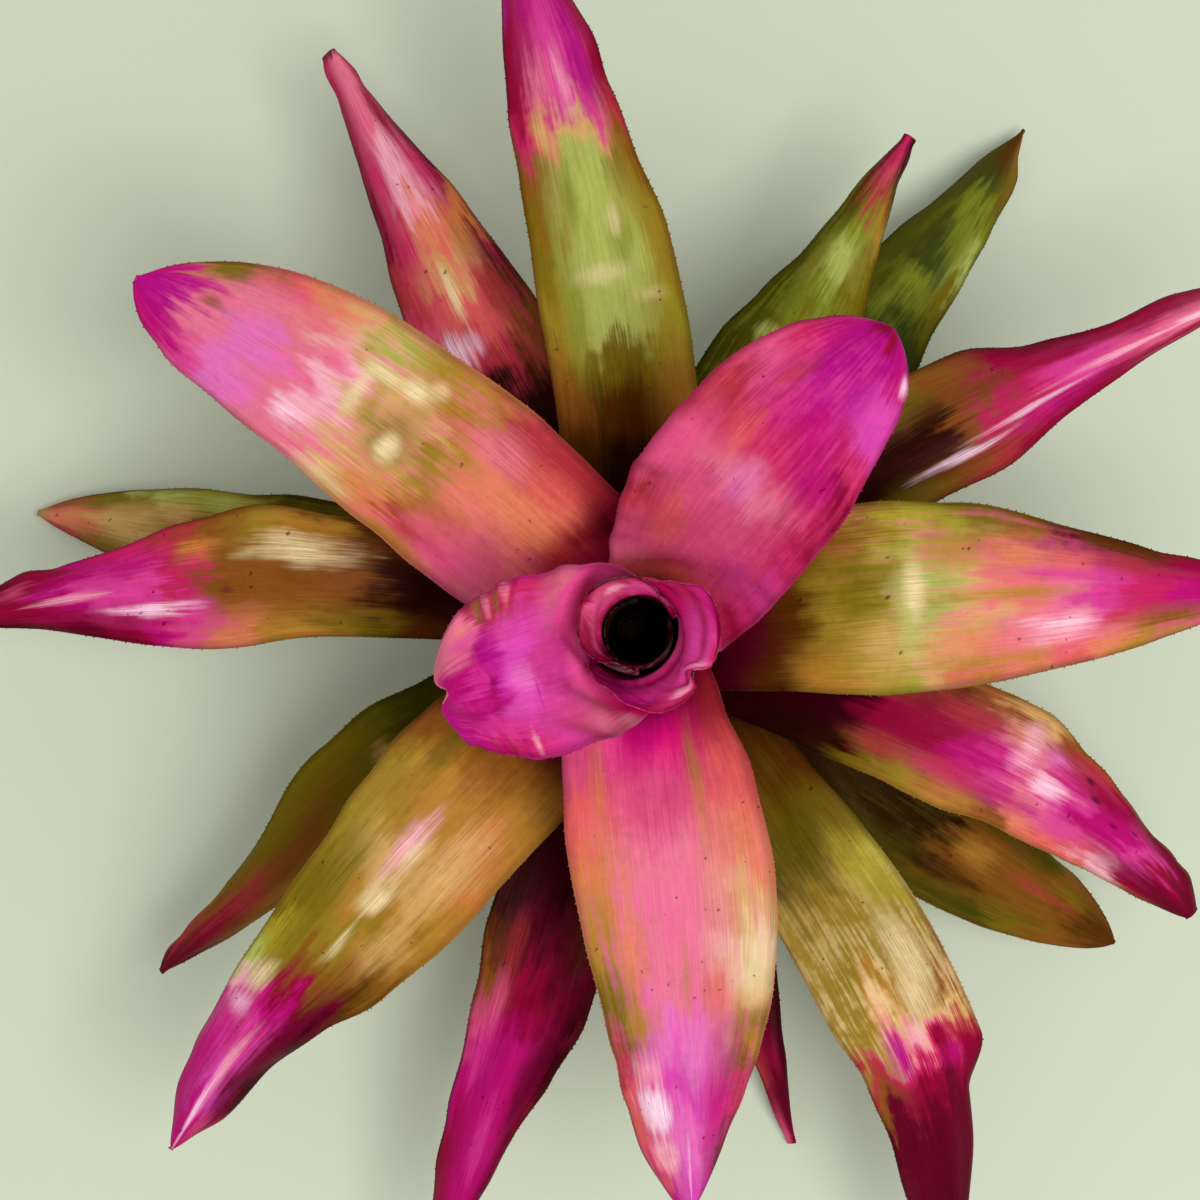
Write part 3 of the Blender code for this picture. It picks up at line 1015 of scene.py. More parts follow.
@dataclass(frozen=True)
class ScaleFinish:
    """Dry, papery, straw-brown remains of leaf bases."""

    straw: Hue = Hue.STRAW
    brown: Hue = Hue.BARK
    fibre_scale: float = 55.0
    stain_spacing: float = 0.004
    specular: float = 0.3
    paper_strength: float = 0.5
    paper_depth: float = 0.0004

    def material(self, effects: StemEffects) -> bpy.types.Material:
        """Builds the scales' material from the stem's bark group, with finer fibres.

        Args:
            effects: The shared node groups of the stem.

        Returns:
            The material.
        """
        finish = Finish("dry_scales")
        w, place = finish.wiring, finish.position()
        sizes = {"Fibre_Scale": self.fibre_scale, "Ring_Spacing": self.stain_spacing}
        fibre, _, pits = w.group(effects.bark, Place=place, **sizes)
        stain = w.spread(w.noise(place, 180.0, 3.0), 0.45, 0.7)
        colour = w.mixed(w.times(stain, 0.7), w.mixed(fibre, self.brown, self.straw), Hue.PEAT)
        finish.raised(w.line(fibre, 0.8, w.times(pits, 0.3)), self.paper_strength, self.paper_depth)
        return finish.coated(colour, w.line(pits, 0.2, 0.55), self.specular)


# ---- Building ----


def deselect() -> None:
    """Leaves object mode with nothing selected."""
    if bpy.context.object and bpy.context.object.mode != "OBJECT":
        bpy.ops.object.mode_set(mode="OBJECT")
    bpy.ops.object.select_all(action="DESELECT")


def pick(*objects: bpy.types.Object) -> None:
    """Selects only some objects.

    Args:
        objects: The objects; the first one is made active.
    """
    deselect()
    for thing in objects:
        thing.select_set(True)
    bpy.context.view_layer.objects.active = objects[0]


def join(*parts: bpy.types.Object) -> bpy.types.Object:
    """Joins parts into one.

    Args:
        parts: The parts, whose first one takes in the others.

    Returns:
        The first part.
    """
    pick(*parts)
    bpy.ops.object.join()
    return parts[0]


def points_of(piece: bpy.types.Object) -> np.ndarray:
    """The places of a mesh's points."""
    return np.array([vertex.co for vertex in piece.data.vertices])


def twins(first: bpy.types.Object, count: int) -> list[bpy.types.Object]:
    """Copies a piece.

    Args:
        first: The piece.
        count: How many there are to be, with the first.

    Returns:
        The piece and its copies, each with a mesh of its own.
    """
    pieces = [first]
    for _ in range(count - 1):
        twin = first.copy()
        twin.data = first.data.copy()
        bpy.context.collection.objects.link(twin)
        pieces.append(twin)
    return pieces


def face_outwards(piece: bpy.types.Object) -> None:
    """Turns every face outwards.

    Args:
        piece: The piece, whose parts are all closed.
    """
    pick(piece)
    bpy.ops.object.mode_set(mode="EDIT")
    bpy.ops.mesh.select_all(action="SELECT")
    bpy.ops.mesh.normals_make_consistent(inside=False)
    bpy.ops.object.mode_set(mode="OBJECT")


def thicken(piece: bpy.types.Object, thickness: float, group: str = "") -> None:
    """Gives a sheet a thickness to both sides.

    Args:
        piece: The sheet.
        thickness: Its thickness in millimetres.
        group: The vertex group that thins it, if there is one.
    """
    skin = piece.modifiers.new("thickness", "SOLIDIFY")
    skin.thickness = thickness * MM
    skin.offset = 0
    skin.vertex_group = group
    pick(piece)
    bpy.ops.object.modifier_apply(modifier=skin.name)


def lay_map(piece: bpy.types.Object, places: np.ndarray) -> None:
    """Lays the leaf's map on a piece, as its only map.

    Args:
        piece: The piece.
        places: The map's place for each of its points.
    """
    mesh = piece.data
    for layer in list(mesh.uv_layers):
        mesh.uv_layers.remove(layer)
    corner = np.zeros(len(mesh.loops), int)
    mesh.loops.foreach_get("vertex_index", corner)
    mesh.uv_layers.new(name=LEAF_MAP).data.foreach_set("uv", places[corner].ravel())


def settle(piece: bpy.types.Object, finish: bpy.types.Material, slot: str, *nodes: str) -> bpy.types.Object:
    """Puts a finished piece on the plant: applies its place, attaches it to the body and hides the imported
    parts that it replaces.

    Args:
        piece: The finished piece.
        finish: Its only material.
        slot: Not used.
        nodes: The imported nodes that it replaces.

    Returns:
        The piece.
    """
    piece.data.materials.clear()
    piece.data.materials.append(finish)
    pick(piece)
    bpy.ops.object.transform_apply(location=True, rotation=True, scale=True)
    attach(piece, BODY)
    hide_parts(*nodes)
    size = np.ptp(points_of(piece), axis=0) / MM
    LOG.info("%s: %d faces, %.0f x %.0f x %.0f mm", piece.name, len(piece.data.polygons), *size)
    return piece


@dataclass
class PaintedLeaf:
    """One leaf: its form, its marginal spines and its finish. Its sizes are in millimetres."""

    name: str
    form: LeafForm
    paint: LeafPaint
    seed: int
    flesh: float = 0.8  # its thickness
    margin_flesh: float = 0.35
    spine_spacing: float = 2.4
    spine_spread: float = 0.6  # how far a spine may stand from its even place
    spine_width: float = 0.42
    spine_flatness: float = 0.14
    spine_lean: float = 0.7  # how far it hooks towards the tip: 1 is as far as it stands out
    spine_sink: float = 0.2  # how deep its root sits in the margin

    def build(self, effects: LeafEffects) -> bpy.types.Object:
        """Builds the leaf and lays it on the plant.

        Args:
            effects: The shared node groups.

        Returns:
            The finished leaf.
        """
        surface = LeafSurface(self.form, self.seed)
        leaf = join(self.build_sheet(surface), self.build_spines(surface))
        bpy.ops.object.shade_smooth()
        finish = self.paint.material(self.name + "_finish", effects, surface)
        return settle(leaf, finish, self.name.rsplit("_", 1)[0], self.name)

    def build_sheet(self, surface: LeafSurface) -> bpy.types.Object:
        """The leaf itself: a grid laid on the leaf's surface, thickened and thinned to its margins.

        Args:
            surface: The leaf's middle surface.

        Returns:
            The leaf without its spines.
        """
        deselect()
        rows, columns = surface.points.shape[:2]
        bpy.ops.mesh.primitive_grid_add(x_subdivisions=columns - 1, y_subdivisions=rows - 1, size=1)
        sheet = bpy.context.object
        sheet.name = self.name + "_blade"
        sheet.data.vertices.foreach_set("co", (surface.points * MM).ravel())
        lay_map(sheet, surface.leaf_map().reshape(-1, 2))
        plump = sheet.vertex_groups.new(name="flesh")
        weights = 1 - np.abs(surface.side) ** 4 * (1 - self.margin_flesh / self.flesh)
        for column, weight in enumerate(weights):
            plump.add([row * columns + column for row in range(rows)], float(weight), "REPLACE")
        thicken(sheet, self.flesh, plump.name)
        self.mark_underside(sheet, surface)
        return sheet

    @staticmethod
    def mark_underside(sheet: bpy.types.Object, surface: LeafSurface) -> None:
        """Gives every point of the leaf's lower face the value 1, and every other point 0.

        Args:
            sheet: The thickened leaf, whose first points are one of its faces.
            surface: The leaf's middle surface.
        """
        place = points_of(sheet)
        middle, normal = surface.points.reshape(-1, 3) * MM, surface.normals.reshape(-1, 3)
        first_is_under = ((place[: len(middle)] - middle) * normal).sum() < 0
        values = np.full(len(place), 0.0 if first_is_under else 1.0)
        values[: len(middle)] = 1.0 if first_is_under else 0.0
        sheet.data.attributes.new(UNDERSIDE, "FLOAT", "POINT").data.foreach_set("value", values)

    def build_spines(self, surface: LeafSurface) -> bpy.types.Object:
        """The fine spines along both margins: one small hooked cone, copied from foot to tip.

        Args:
            surface: The leaf's middle surface.

        Returns:
            All the spines as one mesh.
        """
        deselect()
        bpy.ops.mesh.primitive_cone_add(vertices=4, radius1=1, radius2=0, depth=1, location=(0, 0, 0.5))
        spines = bpy.context.object
        spines.name = self.name + "_spines"
        bpy.ops.object.transform_apply(location=True)
        pattern = points_of(spines)
        faces = [tuple(face.vertices) for face in spines.data.polygons]
        random = np.random.default_rng(self.seed + 50)
        first = surface.sheath_count
        points, places, maps = [], [], surface.leaf_map()
        for column, inner in ((0, 1), (-1, -2)):
            line = surface.points[first:, column]
            run = running_length(line)
            stops = np.arange(run[-1] * 0.04, run[-1] * 0.96, self.spine_spacing)
            stops = stops + random.uniform(-self.spine_spread, self.spine_spread, len(stops))
            for stop, size in zip(stops, random.uniform(0.6, 1.15, len(stops))):
                row = min(int(np.searchsorted(run, stop)), len(run) - 2)
                root = line[row]
                ahead = unit(line[row + 1] - line[row])
                out = unit(root - surface.points[first + row, inner])
                up = surface.normals[first + row, column]
                foot = ahead * pattern[:, :1] * self.spine_width * size
                foot = foot + up * pattern[:, 1:2] * self.spine_flatness
                lean = unit(out + self.spine_lean * ahead)
                thorn = foot + lean * pattern[:, 2:] * (self.form.spine * size)
                points.append(root - out * self.spine_sink + thorn)
                places += [maps[first + row, column]] * len(pattern)
        spines.data.clear_geometry()
        starts = range(0, len(places), len(pattern))
        corners = [tuple(start + index for index in face) for start in starts for face in faces]
        spines.data.from_pydata((np.concatenate(points) * MM).tolist(), [], corners)
        lay_map(spines, np.array(places))
        spines.data.attributes.new(UNDERSIDE, "FLOAT", "POINT")
        return spines


@dataclass
class CutStem:
    """The short woody stem: a tapering core in rings of leaf scars, with root stubs. In millimetres."""

    name: str = "stem_core"
    node: str = "stem"
    rings: tuple[tuple[float, float], ...] = (
        (0.0, 13.4), (0.5, 14.3), (1.2, 14.8), (3.0, 14.7), (4.6, 14.0), (6.2, 13.9), (7.0, 13.2),
        (8.6, 13.0), (9.4, 12.5), (12.0, 12.4), (22.0, 11.1), (40.0, 8.8), (66.0, 5.6), (68.6, 3.6),
        (69.6, 0.8),
    )  # height and radius of each ring
    sides: int = 72
    unevenness: float = 0.35
    wave_count: int = 9
    root_count: int = 9
    root_radius: float = 0.9
    root_length: float = 6.0
    root_reach: float = 12.6  # how far from the axis the stubs start
    seed: int = 71

    def build(self, effects: StemEffects) -> bpy.types.Object:
        """Builds the stem and lays it under the leaves.

        Args:
            effects: The shared node groups of the stem.

        Returns:
            The finished stem.
        """
        core = join(self.build_core(), *self.build_roots())
        bpy.ops.object.shade_smooth_by_angle(angle=math.radians(45))
        return settle(core, StemFinish().material(effects), "stem", self.node)

    def build_core(self) -> bpy.types.Object:
        """The core: a circle extruded ring by ring, then made uneven."""
        deselect()
        foot = self.rings[0][1] * MM
        bpy.ops.mesh.primitive_circle_add(vertices=self.sides, radius=foot, fill_type="NGON")
        core = bpy.context.object
        core.name = self.name
        bpy.ops.object.mode_set(mode="EDIT")
        bpy.ops.mesh.select_all(action="SELECT")
        for (low, radius), (high, wide) in zip(self.rings, self.rings[1:]):
            grow = wide / radius
            bpy.ops.mesh.extrude_region_move(TRANSFORM_OT_translate={"value": (0, 0, (high - low) * MM)})
            bpy.ops.transform.resize(value=(grow, grow, 1), center_override=(0, 0, high * MM))
        face_outwards(core)
        random = np.random.default_rng(self.seed)
        waves = [
            (random.integers(2, 15), random.uniform(0, 6.3), random.uniform(0.2, 2.0))
            for _ in range(self.wave_count)
        ]
        for vertex in core.data.vertices:
            angle, height = math.atan2(vertex.co.y, vertex.co.x), vertex.co.z / MM
            rough = sum(math.sin(n * angle + turn + rate * height) / (2 + n) for n, turn, rate in waves)
            grow = 1 + self.unevenness * rough * MM / max(vertex.co.xy.length, 5 * MM)
            vertex.co.x *= grow
            vertex.co.y *= grow
        return core

    def build_roots(self) -> list[bpy.types.Object]:
        """Stubs of wiry roots: one tapered stub, copied round the lower stem."""
        deselect()
        half = self.root_length / 2 * MM
        bpy.ops.mesh.primitive_cylinder_add(
            vertices=9, radius=self.root_radius * MM, depth=self.root_length * MM, location=(0, 0, half)
        )
        stub = bpy.context.object
        stub.name = "root_stub"
        bpy.ops.object.transform_apply(location=True)
        bpy.ops.object.mode_set(mode="EDIT")
        bpy.ops.mesh.select_all(action="SELECT")
        bpy.ops.mesh.bisect(plane_co=(0, 0, half), plane_no=(0, 0, 1))
        bpy.ops.object.mode_set(mode="OBJECT")
        for vertex in stub.data.vertices:
            height = vertex.co.z / MM
            vertex.co.x = vertex.co.x * (1.25 - 0.07 * height) + 0.02 * height**2 * MM
        random = np.random.default_rng(self.seed + 1)
        stubs = twins(stub, self.root_count)
        for number, piece in enumerate(stubs):
            angle = FULL_TURN * (number + random.uniform(-0.3, 0.3)) / self.root_count
            height = random.uniform(2.2, 7.2)
            piece.scale = (0.8 + 0.4 * random.random(),) * 3
            piece.rotation_euler = (0, math.radians(random.uniform(78, 104)), angle)
            piece.location = polar(self.root_reach, angle, height) * MM
            pick(piece)
            bpy.ops.object.transform_apply(location=True, rotation=True, scale=True)
        return stubs


@dataclass
class DryScales:
    """Papery remains of old leaf bases that still clasp the foot of the stem. In millimetres."""

    name: str = "stem_scales"
    count: int = 13
    short_count: int = 4  # how many of the lowest are short
    height: float = 8.5
    highest: float = 12.6  # height that no scale stands above
    half_width: float = 7.5
    clasp_radius: float = 14.5
    turn: float = 222.5  # degrees from one scale to the next
    paper: float = 0.3  # their thickness
    seed: int = 83

    def build(self, effects: StemEffects) -> bpy.types.Object:
        """Builds one scale, copies it round the stem and joins the copies.

        Args:
            effects: The shared node groups of the stem.

        Returns:
            The ring of scales.
        """
        random = np.random.default_rng(self.seed)
        deselect()
        bpy.ops.mesh.primitive_grid_add(x_subdivisions=14, y_subdivisions=12, size=1)
        first = bpy.context.object
        first.name = self.name
        flat = points_of(first)
        ring_heights, ring_radii = zip(*CutStem.rings)
        across, rising = flat[:, 0], flat[:, 1] + 0.5
        scales = twins(first, self.count)
        for number, piece in enumerate(scales):
            low = mix(1.4, 4.6, number / self.count) + random.uniform(-0.3, 0.3)
            tall = self.height * random.uniform(0.75, 1.1) * (0.6 if number < self.short_count else 1)
            tall = min(tall, self.highest - low)
            narrow = self.half_width * (1 - 0.75 * rising**2.2) * random.uniform(0.85, 1.1)
            around = across * 2 * narrow / self.clasp_radius + number * math.radians(self.turn)
            frayed = 0.5 * np.sin(across * 21 + number) * rising**4
            level = low + tall * rising * (1 - 0.25 * (2 * across) ** 2 * rising) + frayed
            flare = random.uniform(0.3, 1.1) * rising**2.4
            flare = flare + 0.25 * np.sin(across * 9 + 2 * number) * rising**2
            radius = np.interp(level, ring_heights, ring_radii) + 0.12 + 0.05 * number * rising + flare
            piece.data.vertices.foreach_set("co", (polar(radius, around, level) * MM).ravel())
        join(*scales)
        thicken(first, self.paper)
        face_outwards(first)
        bpy.ops.object.shade_smooth_by_angle(angle=math.radians(50))
        return settle(first, ScaleFinish().material(effects), "stem")


# ---- The leaves, from the heart outwards ----

# A form's first row is its layer, azimuth, sweep, hook, sheath top, climb, reach, tip height, tip pitch,
# tip pull, half width, broadest place, neck, point, slim, wrap, channel and fold.
FORMS: dict[str, LeafForm] = {
    "inner_leaf_1": LeafForm(
        0, 240, 0, 0, 134, 6, 9.6, 148, -88, 5, 25, 0.3, 1, 4, 0.8, 155, 152, -152,
        wave=0.2, columns=60, rows=70,
    ),
    "inner_leaf_2": LeafForm(
        1, 150, 0, 0, 146, 12, 18.5, 171, -35, 10, 26.5, 0.5, 0.9, 3, 0.7, 130, 125, -95,
        right=(20, -0.5, 60, -1.5),
        left=(10, -1.5, 50, -4),
        swells=(Swell(90, 35, 12, 25, 0.8), Swell(95, -40, 10, 20, -0.6)),
        columns=60, rows=100,
    ),
    "inner_leaf_3": LeafForm(
        2, 338, 0, 0, 136, 18, 22.3, 167, -30, 14, 30, 0.6, 0.85, 3, 0.6, 125, 120, -90,
        right=(40, 0, 65, 3.5, 85, 2.5, 100, 0),
        left=(75, 0, 90, 1.5),
        notch=(5, -4.5),
        swells=(
            Swell(90, -30, 6, 7, -2), Swell(93, -14, 10, 8, 1.2), Swell(93, -46, 10, 8, 1.2),
            Swell(95, 20, 8, 30, 0.8),
        ),
        wave=0.6, columns=72, rows=110,
    ),
    "inner_leaf_4": LeafForm(
        3, 197, 0, 0, 130, 42, 59, 174, 50, 24, 27.5, 0.5, 1, 2.6, 0.45, 120, 50, 15,
        right=(60, 0, 80, -2.5, 90, -3.5),
        left=(40, 0.5, 55, 1.5, 70, -1, 80, -3, 88, -3.8, 94, -1, 100, 0),
        notch=(6.5, 0),
        swells=(
            Swell(70, -90, 7, 30, 1.3, waves=1.1, slant=0.06, turn=-0.3),
            Swell(77, 95, 5, 30, 1.3, waves=0.9, slant=-0.1, turn=0.4),
            Swell(80, -30, 3, 45, -1.6, slant=-0.03), Swell(90, -45, 5, 30, 1.4), Swell(93, 0, 8, 7, -1.5),
            Swell(88, 40, 6, 30, 0.9), Swell(70, 5, 10, 35, 1.2), Swell(60, 35, 2, 30, -0.5, slant=0.3),
        ),
        wave=0.4, waves=3, columns=60, rows=190,
    ),
    "middle_leaf_1": LeafForm(
        4, 54.5, -8, 0, 104, 60, 109, 186, 32, 50, 27.5, 0.6, 0.9, 2.5, 0.5, 118, 20, 10,
        right=(10, 1, 40, 0.5, 60, -0.5, 80, -3.5, 100, -1),
        left=(20, -4.5, 30, -2.5, 40, 0, 50, 2.5, 70, 1, 92, -2),
        keel=(30, 0, 60, 1.2, 100, 1.5),
        swells=(
            Swell(62, 40, 12, 20, 0.8, slant=0.1), Swell(80, -30, 12, 30, -0.9), Swell(55, -40, 10, 30, 0.7),
            Swell(88, 35, 5, 25, -0.8), Swell(70, -90, 20, 12, 0.3, waves=2),
        ),
        wave=0.7, waves=6, columns=48, rows=180,
    ),
    "middle_leaf_2": LeafForm(
        5, 276.5, -2, 0, 94, 76, 174, 106, 30, 70, 29, 0.5, 0.9, 1.5, 0.75, 112, 10, 35,
        right=(30, 0, 60, -4.5, 70, -3.5, 80, 0, 90, 2.5),
        left=(20, -3, 30, 1, 40, 2.5, 60, 1, 80, -0.5, 92, -1.5),
        keel=(68, 0, 90, 4),
        swells=(
            Swell(80, -50, 6, 25, 1.2), Swell(56, 75, 12, 20, 1), Swell(52, 95, 0.8, 22, -0.7),
            Swell(40, 0, 12, 50, 0.6), Swell(66, 20, 8, 30, -0.6),
        ),
        waves=5, columns=48, rows=190,
    ),
    "middle_leaf_3": LeafForm(
        6, 139.5, 10, 0, 88, 80, 178, 136, 5, 70, 27, 0.6, 0.95, 2.6, 0.65, 108, 15, 15,
        right=(30, 1, 40, 1.5, 60, 0, 80, -1.5, 96, -3.5),
        left=(40, 2, 50, 0.5, 70, -3, 80, -3, 92, 0, 97, 1.5),
        swells=(
            Swell(52, 5, 4.5, 30, -2), Swell(58, -20, 3, 30, 1.3, slant=0.05),
            Swell(45, 10, 3.5, 35, 1.2, slant=-0.04), Swell(54, 50, 5, 20, 0.9), Swell(70, 40, 8, 30, 0.9),
            Swell(88, -30, 4, 30, -0.6),
        ),
        waves=5, columns=48, rows=200,
    ),
    "middle_leaf_4": LeafForm(
        7, 6.5, -6, 0, 82, 75, 189, 106, 25, 80, 27, 0.5, 1, 1.5, 0.9, 106, 10, 20,
        right=(20, -4, 40, 0, 60, -1, 80, 0),
        left=(40, 2.5, 50, 0.5, 70, -3.5, 80, -3, 90, -0.5),
        swells=(
            Swell(42, 10, 1.2, 60, 0.9, slant=0.01), Swell(46, 10, 3, 50, -1), Swell(42, -40, 6, 30, 0.8),
            Swell(66, -35, 8, 35, 0.8), Swell(75, 50, 8, 30, -0.6),
        ),
        waves=5, columns=48, rows=190,
    ),
    "middle_leaf_5": LeafForm(
        8, 224.5, 8, 0, 76, 70, 212, 84, 25, 80, 25.5, 0.5, 0.9, 1.1, 0.55, 104, 10, 45,
        right=(30, 2, 40, -1, 50, -4.5, 80, -3, 86, -2, 92, -0.5, 97, -1.5),
        left=(40, 2, 60, 0, 70, -3.5, 80, -3, 92, 0, 97, -2),
        keel=(60, 0, 80, 5),
        shift=(60, 0, 85, -3, 100, -1.5),
        swells=(
            Swell(40, 10, 5, 40, 1.2, slant=0.03), Swell(47, 30, 5, 35, 0.9, slant=-0.05),
            Swell(33, -20, 5, 40, -0.8), Swell(68, -40, 3, 40, 0.8), Swell(60, 30, 4, 40, -0.7),
        ),
        columns=48, rows=190,
    ),
    "middle_leaf_6": LeafForm(
        9, 95.5, 10, 0, 71, 70, 223, 90, 25, 90, 22.5, 0.45, 0.9, 1.7, 1, 100, 10, 40,
        right=(30, 0.5, 50, -1.5, 60, -4, 70, -3, 80, 1),
        left=(30, -1.5, 50, -1.5, 60, -0.5, 70, 1.5, 80, 2),
        keel=(65, 0, 90, 2),
        swells=(
            Swell(44, 0, 1.2, 50, 0.9, slant=0.04), Swell(46, 20, 3, 12, 0.8),
            Swell(42, -50, 2, 30, 0.9, slant=-0.05), Swell(40, 20, 2.5, 50, -1.1), Swell(54, 10, 6, 50, 0.6),
        ),
        columns=44, rows=190,
    ),
    "outer_leaf_1": LeafForm(
        10, 341, -6, -5, 66, 65, 192, 76, 25, 80, 20, 0.6, 0.8, 1.6, 0.75, 95, 10, 30,
        right=(50, 0, 60, -2.5, 70, -1.5, 96, 1.5),
        left=(60, 0.5, 70, -3, 80, -4.5, 86, -3.5, 92, -0.5, 96, 2),
        keel=(60, 0, 90, 2.5),
        swells=(
            Swell(60, 30, 2, 50, 1, slant=0.05), Swell(64, 10, 3, 50, -0.9), Swell(70, -10, 4, 30, 0.8),
            Swell(50, -85, 14, 20, 0.4, waves=1.2),
        ),
        wave=0.8, waves=6, columns=44,
    ),
    "outer_leaf_2": LeafForm(
        11, 305.5, -8, -9, 62, 60, 240, 36, 50, 70, 20, 0.65, 0.8, 1.6, 1, 90, 5, 40,
        right=(40, 1.5, 50, 1.5, 60, -2, 70, -3, 80, -0.5),
        left=(20, 0.5, 30, 2, 40, 2.5, 60, 1, 67, -8.2, 80, -9),
        keel=(55, 0, 66, 4, 100, 2),
        swells=(
            Swell(48, 10, 3, 50, 0.9, slant=0.03), Swell(53, 40, 3, 30, 0.8),
            Swell(60, 0, 2, 60, 1.2, slant=0.03), Swell(35, -30, 6, 50, 0.6),
        ),
        columns=44, rows=170,
    ),
    "outer_leaf_3": LeafForm(
        12, 172, 16, 0, 58, 60, 216, 72, 20, 90, 20.5, 0.5, 0.8, 1.8, 1.1, 90, 10, 30,
        right=(40, -0.5, 50, 2, 60, -1, 70, -3.5, 80, -1.5, 86, 2),
        left=(40, -3, 60, 1, 86, -1.5),
        keel=(55, 0, 80, 3),
        swells=(Swell(42, -30, 4, 35, 1.1), Swell(48, -20, 3, 40, -0.7), Swell(57, 20, 5, 40, 0.6)),
        columns=44, rows=170,
    ),
    "outer_leaf_4": LeafForm(
        13, 32, -8, 0, 54, 60, 239, 84, 10, 90, 19, 0.42, 0.9, 1.25, 1, 85, 0, 55,
        right=(40, -2.5, 50, 0, 60, -3.5, 85, -3.8, 95, -1),
        left=(50, 3, 60, -2, 70, -3.5, 80, 1),
        keel=(30, 0, 55, 6, 100, 4),
        swells=(Swell(46, -45, 5, 15, 1), Swell(42, 40, 5, 30, -0.8), Swell(60, -5, 12, 10, 0.5)),
        columns=44, rows=170,
    ),
    "outer_leaf_5": LeafForm(
        14, 253.5, -2, 0, 50, 57, 220, 43, 30, 80, 18.5, 0.5, 0.9, 1.8, 1.1, 85, 5, 40,
        right=(40, 0.5, 50, -2.5, 60, -3.5, 70, -2.5, 80, 0),
        left=(50, 1, 60, -2.5, 70, -5, 80, -4, 92, -1),
        keel=(40, 0, 70, 2.5),
        swells=(Swell(50, 10, 6, 40, 0.6), Swell(62, -40, 5, 40, -0.6)),
        columns=40,
    ),
    "outer_leaf_6": LeafForm(
        15, 117.5, 0, 0, 46, 58, 205, 57, 20, 80, 22.5, 0.4, 0.9, 1.4, 0.75, 80, 0, 55,
        right=(50, -1.5, 70, -2, 80, -2.5, 92, -2, 96, 0),
        left=(60, -1, 70, -2.5, 80, -1.5, 92, 0.5, 99, 4),
        keel=(35, 0, 60, 6, 100, 3),
        swells=(Swell(46, 20, 3.5, 30, 1), Swell(50, 0, 3, 40, -0.8), Swell(60, 30, 6, 20, 0.7)),
        columns=44,
    ),
    "outer_leaf_7": LeafForm(
        16, 210, 12, 0, 42, 54, 185, 43, 25, 80, 16, 0.5, 0.9, 1.6, 0.7, 80, 5, 35,
        right=(30, 1.5, 40, 3.5, 50, 1.5, 70, -3.5, 80, -4, 92, -1, 97, 1),
        left=(60, 0, 75, -4, 90, -1.5),
        keel=(60, 0, 90, 2),
        shift=(50, 0, 75, 3, 100, 0),
    ),
    "outer_leaf_8": LeafForm(
        17, 61.5, -1, 0, 39, 54, 177, 58, 15, 80, 20, 0.4, 0.9, 1.6, 1, 75, 5, 40,
        right=(90, 0, 97, 2),
        left=(50, 2.5, 60, 0, 70, -2, 80, -1, 92, 1),
        keel=(50, 0, 80, 3),
        swells=(Swell(72, 0, 5, 30, 0.9), Swell(60, -40, 6, 30, 0.6)),
    ),
    "outer_leaf_9": LeafForm(
        18, 326, 2, 0, 36, 50, 184, 30, 20, 80, 21, 0.5, 0.8, 2.2, 0.65, 75, 5, 25,
        left=(70, 0, 80, -3, 88, -1),
        swells=(Swell(70, 0, 2, 40, 0.8), Swell(80, 30, 6, 40, -0.6)),
    ),
    "outer_leaf_10": LeafForm(
        19, 167, 4, 0, 32, 45, 199, 6, 30, 80, 18, 0.5, 0.8, 2, 0.8, 70, 5, 25,
        right=(50, 0, 60, -2, 70, -1, 92, 0.5),
        keel=(50, 0, 80, 2),
    ),
    "outer_leaf_11": LeafForm(
        20, 51, 2, 0, 29, 45, 208, 6, 30, 80, 18.5, 0.5, 0.8, 2, 0.9, 70, 5, 30,
        right=(50, 0, 60, -3, 70, -2.5, 80, -1.5, 92, 2, 96, 0),
        left=(60, 0, 70, -1.5, 80, -2.5, 92, -1),
        keel=(50, 0, 80, 2),
    ),
    "outer_leaf_12": LeafForm(
        21, 288.5, -2, 0, 26, 40, 177, 4, 25, 80, 11, 0.4, 1, 1.8, 0.9, 65, 5, 40,
        right=(80, 0, 96, 2),
        left=(60, 0, 80, -1.5),
        keel=(50, 0, 90, 1.5),
    ),
}

# The hues that the paints are written in.
(
    LILAC, ORCHID, VIOLET, MAGENTA, CERISE, ROSE, PINK, BLUSH, GLINT, NEON, FUCHSIA, BERRY, BRICK,
    SALMON, CORAL, ORANGE, OCHRE, KHAKI, TAN, CREAM, LIME, PEAR, GREEN, OLIVE, MOSS, PINE, UMBER, BROWN,
    PEAT, CRIMSON, MAROON, WINE,
) = tuple(Hue)[:32]
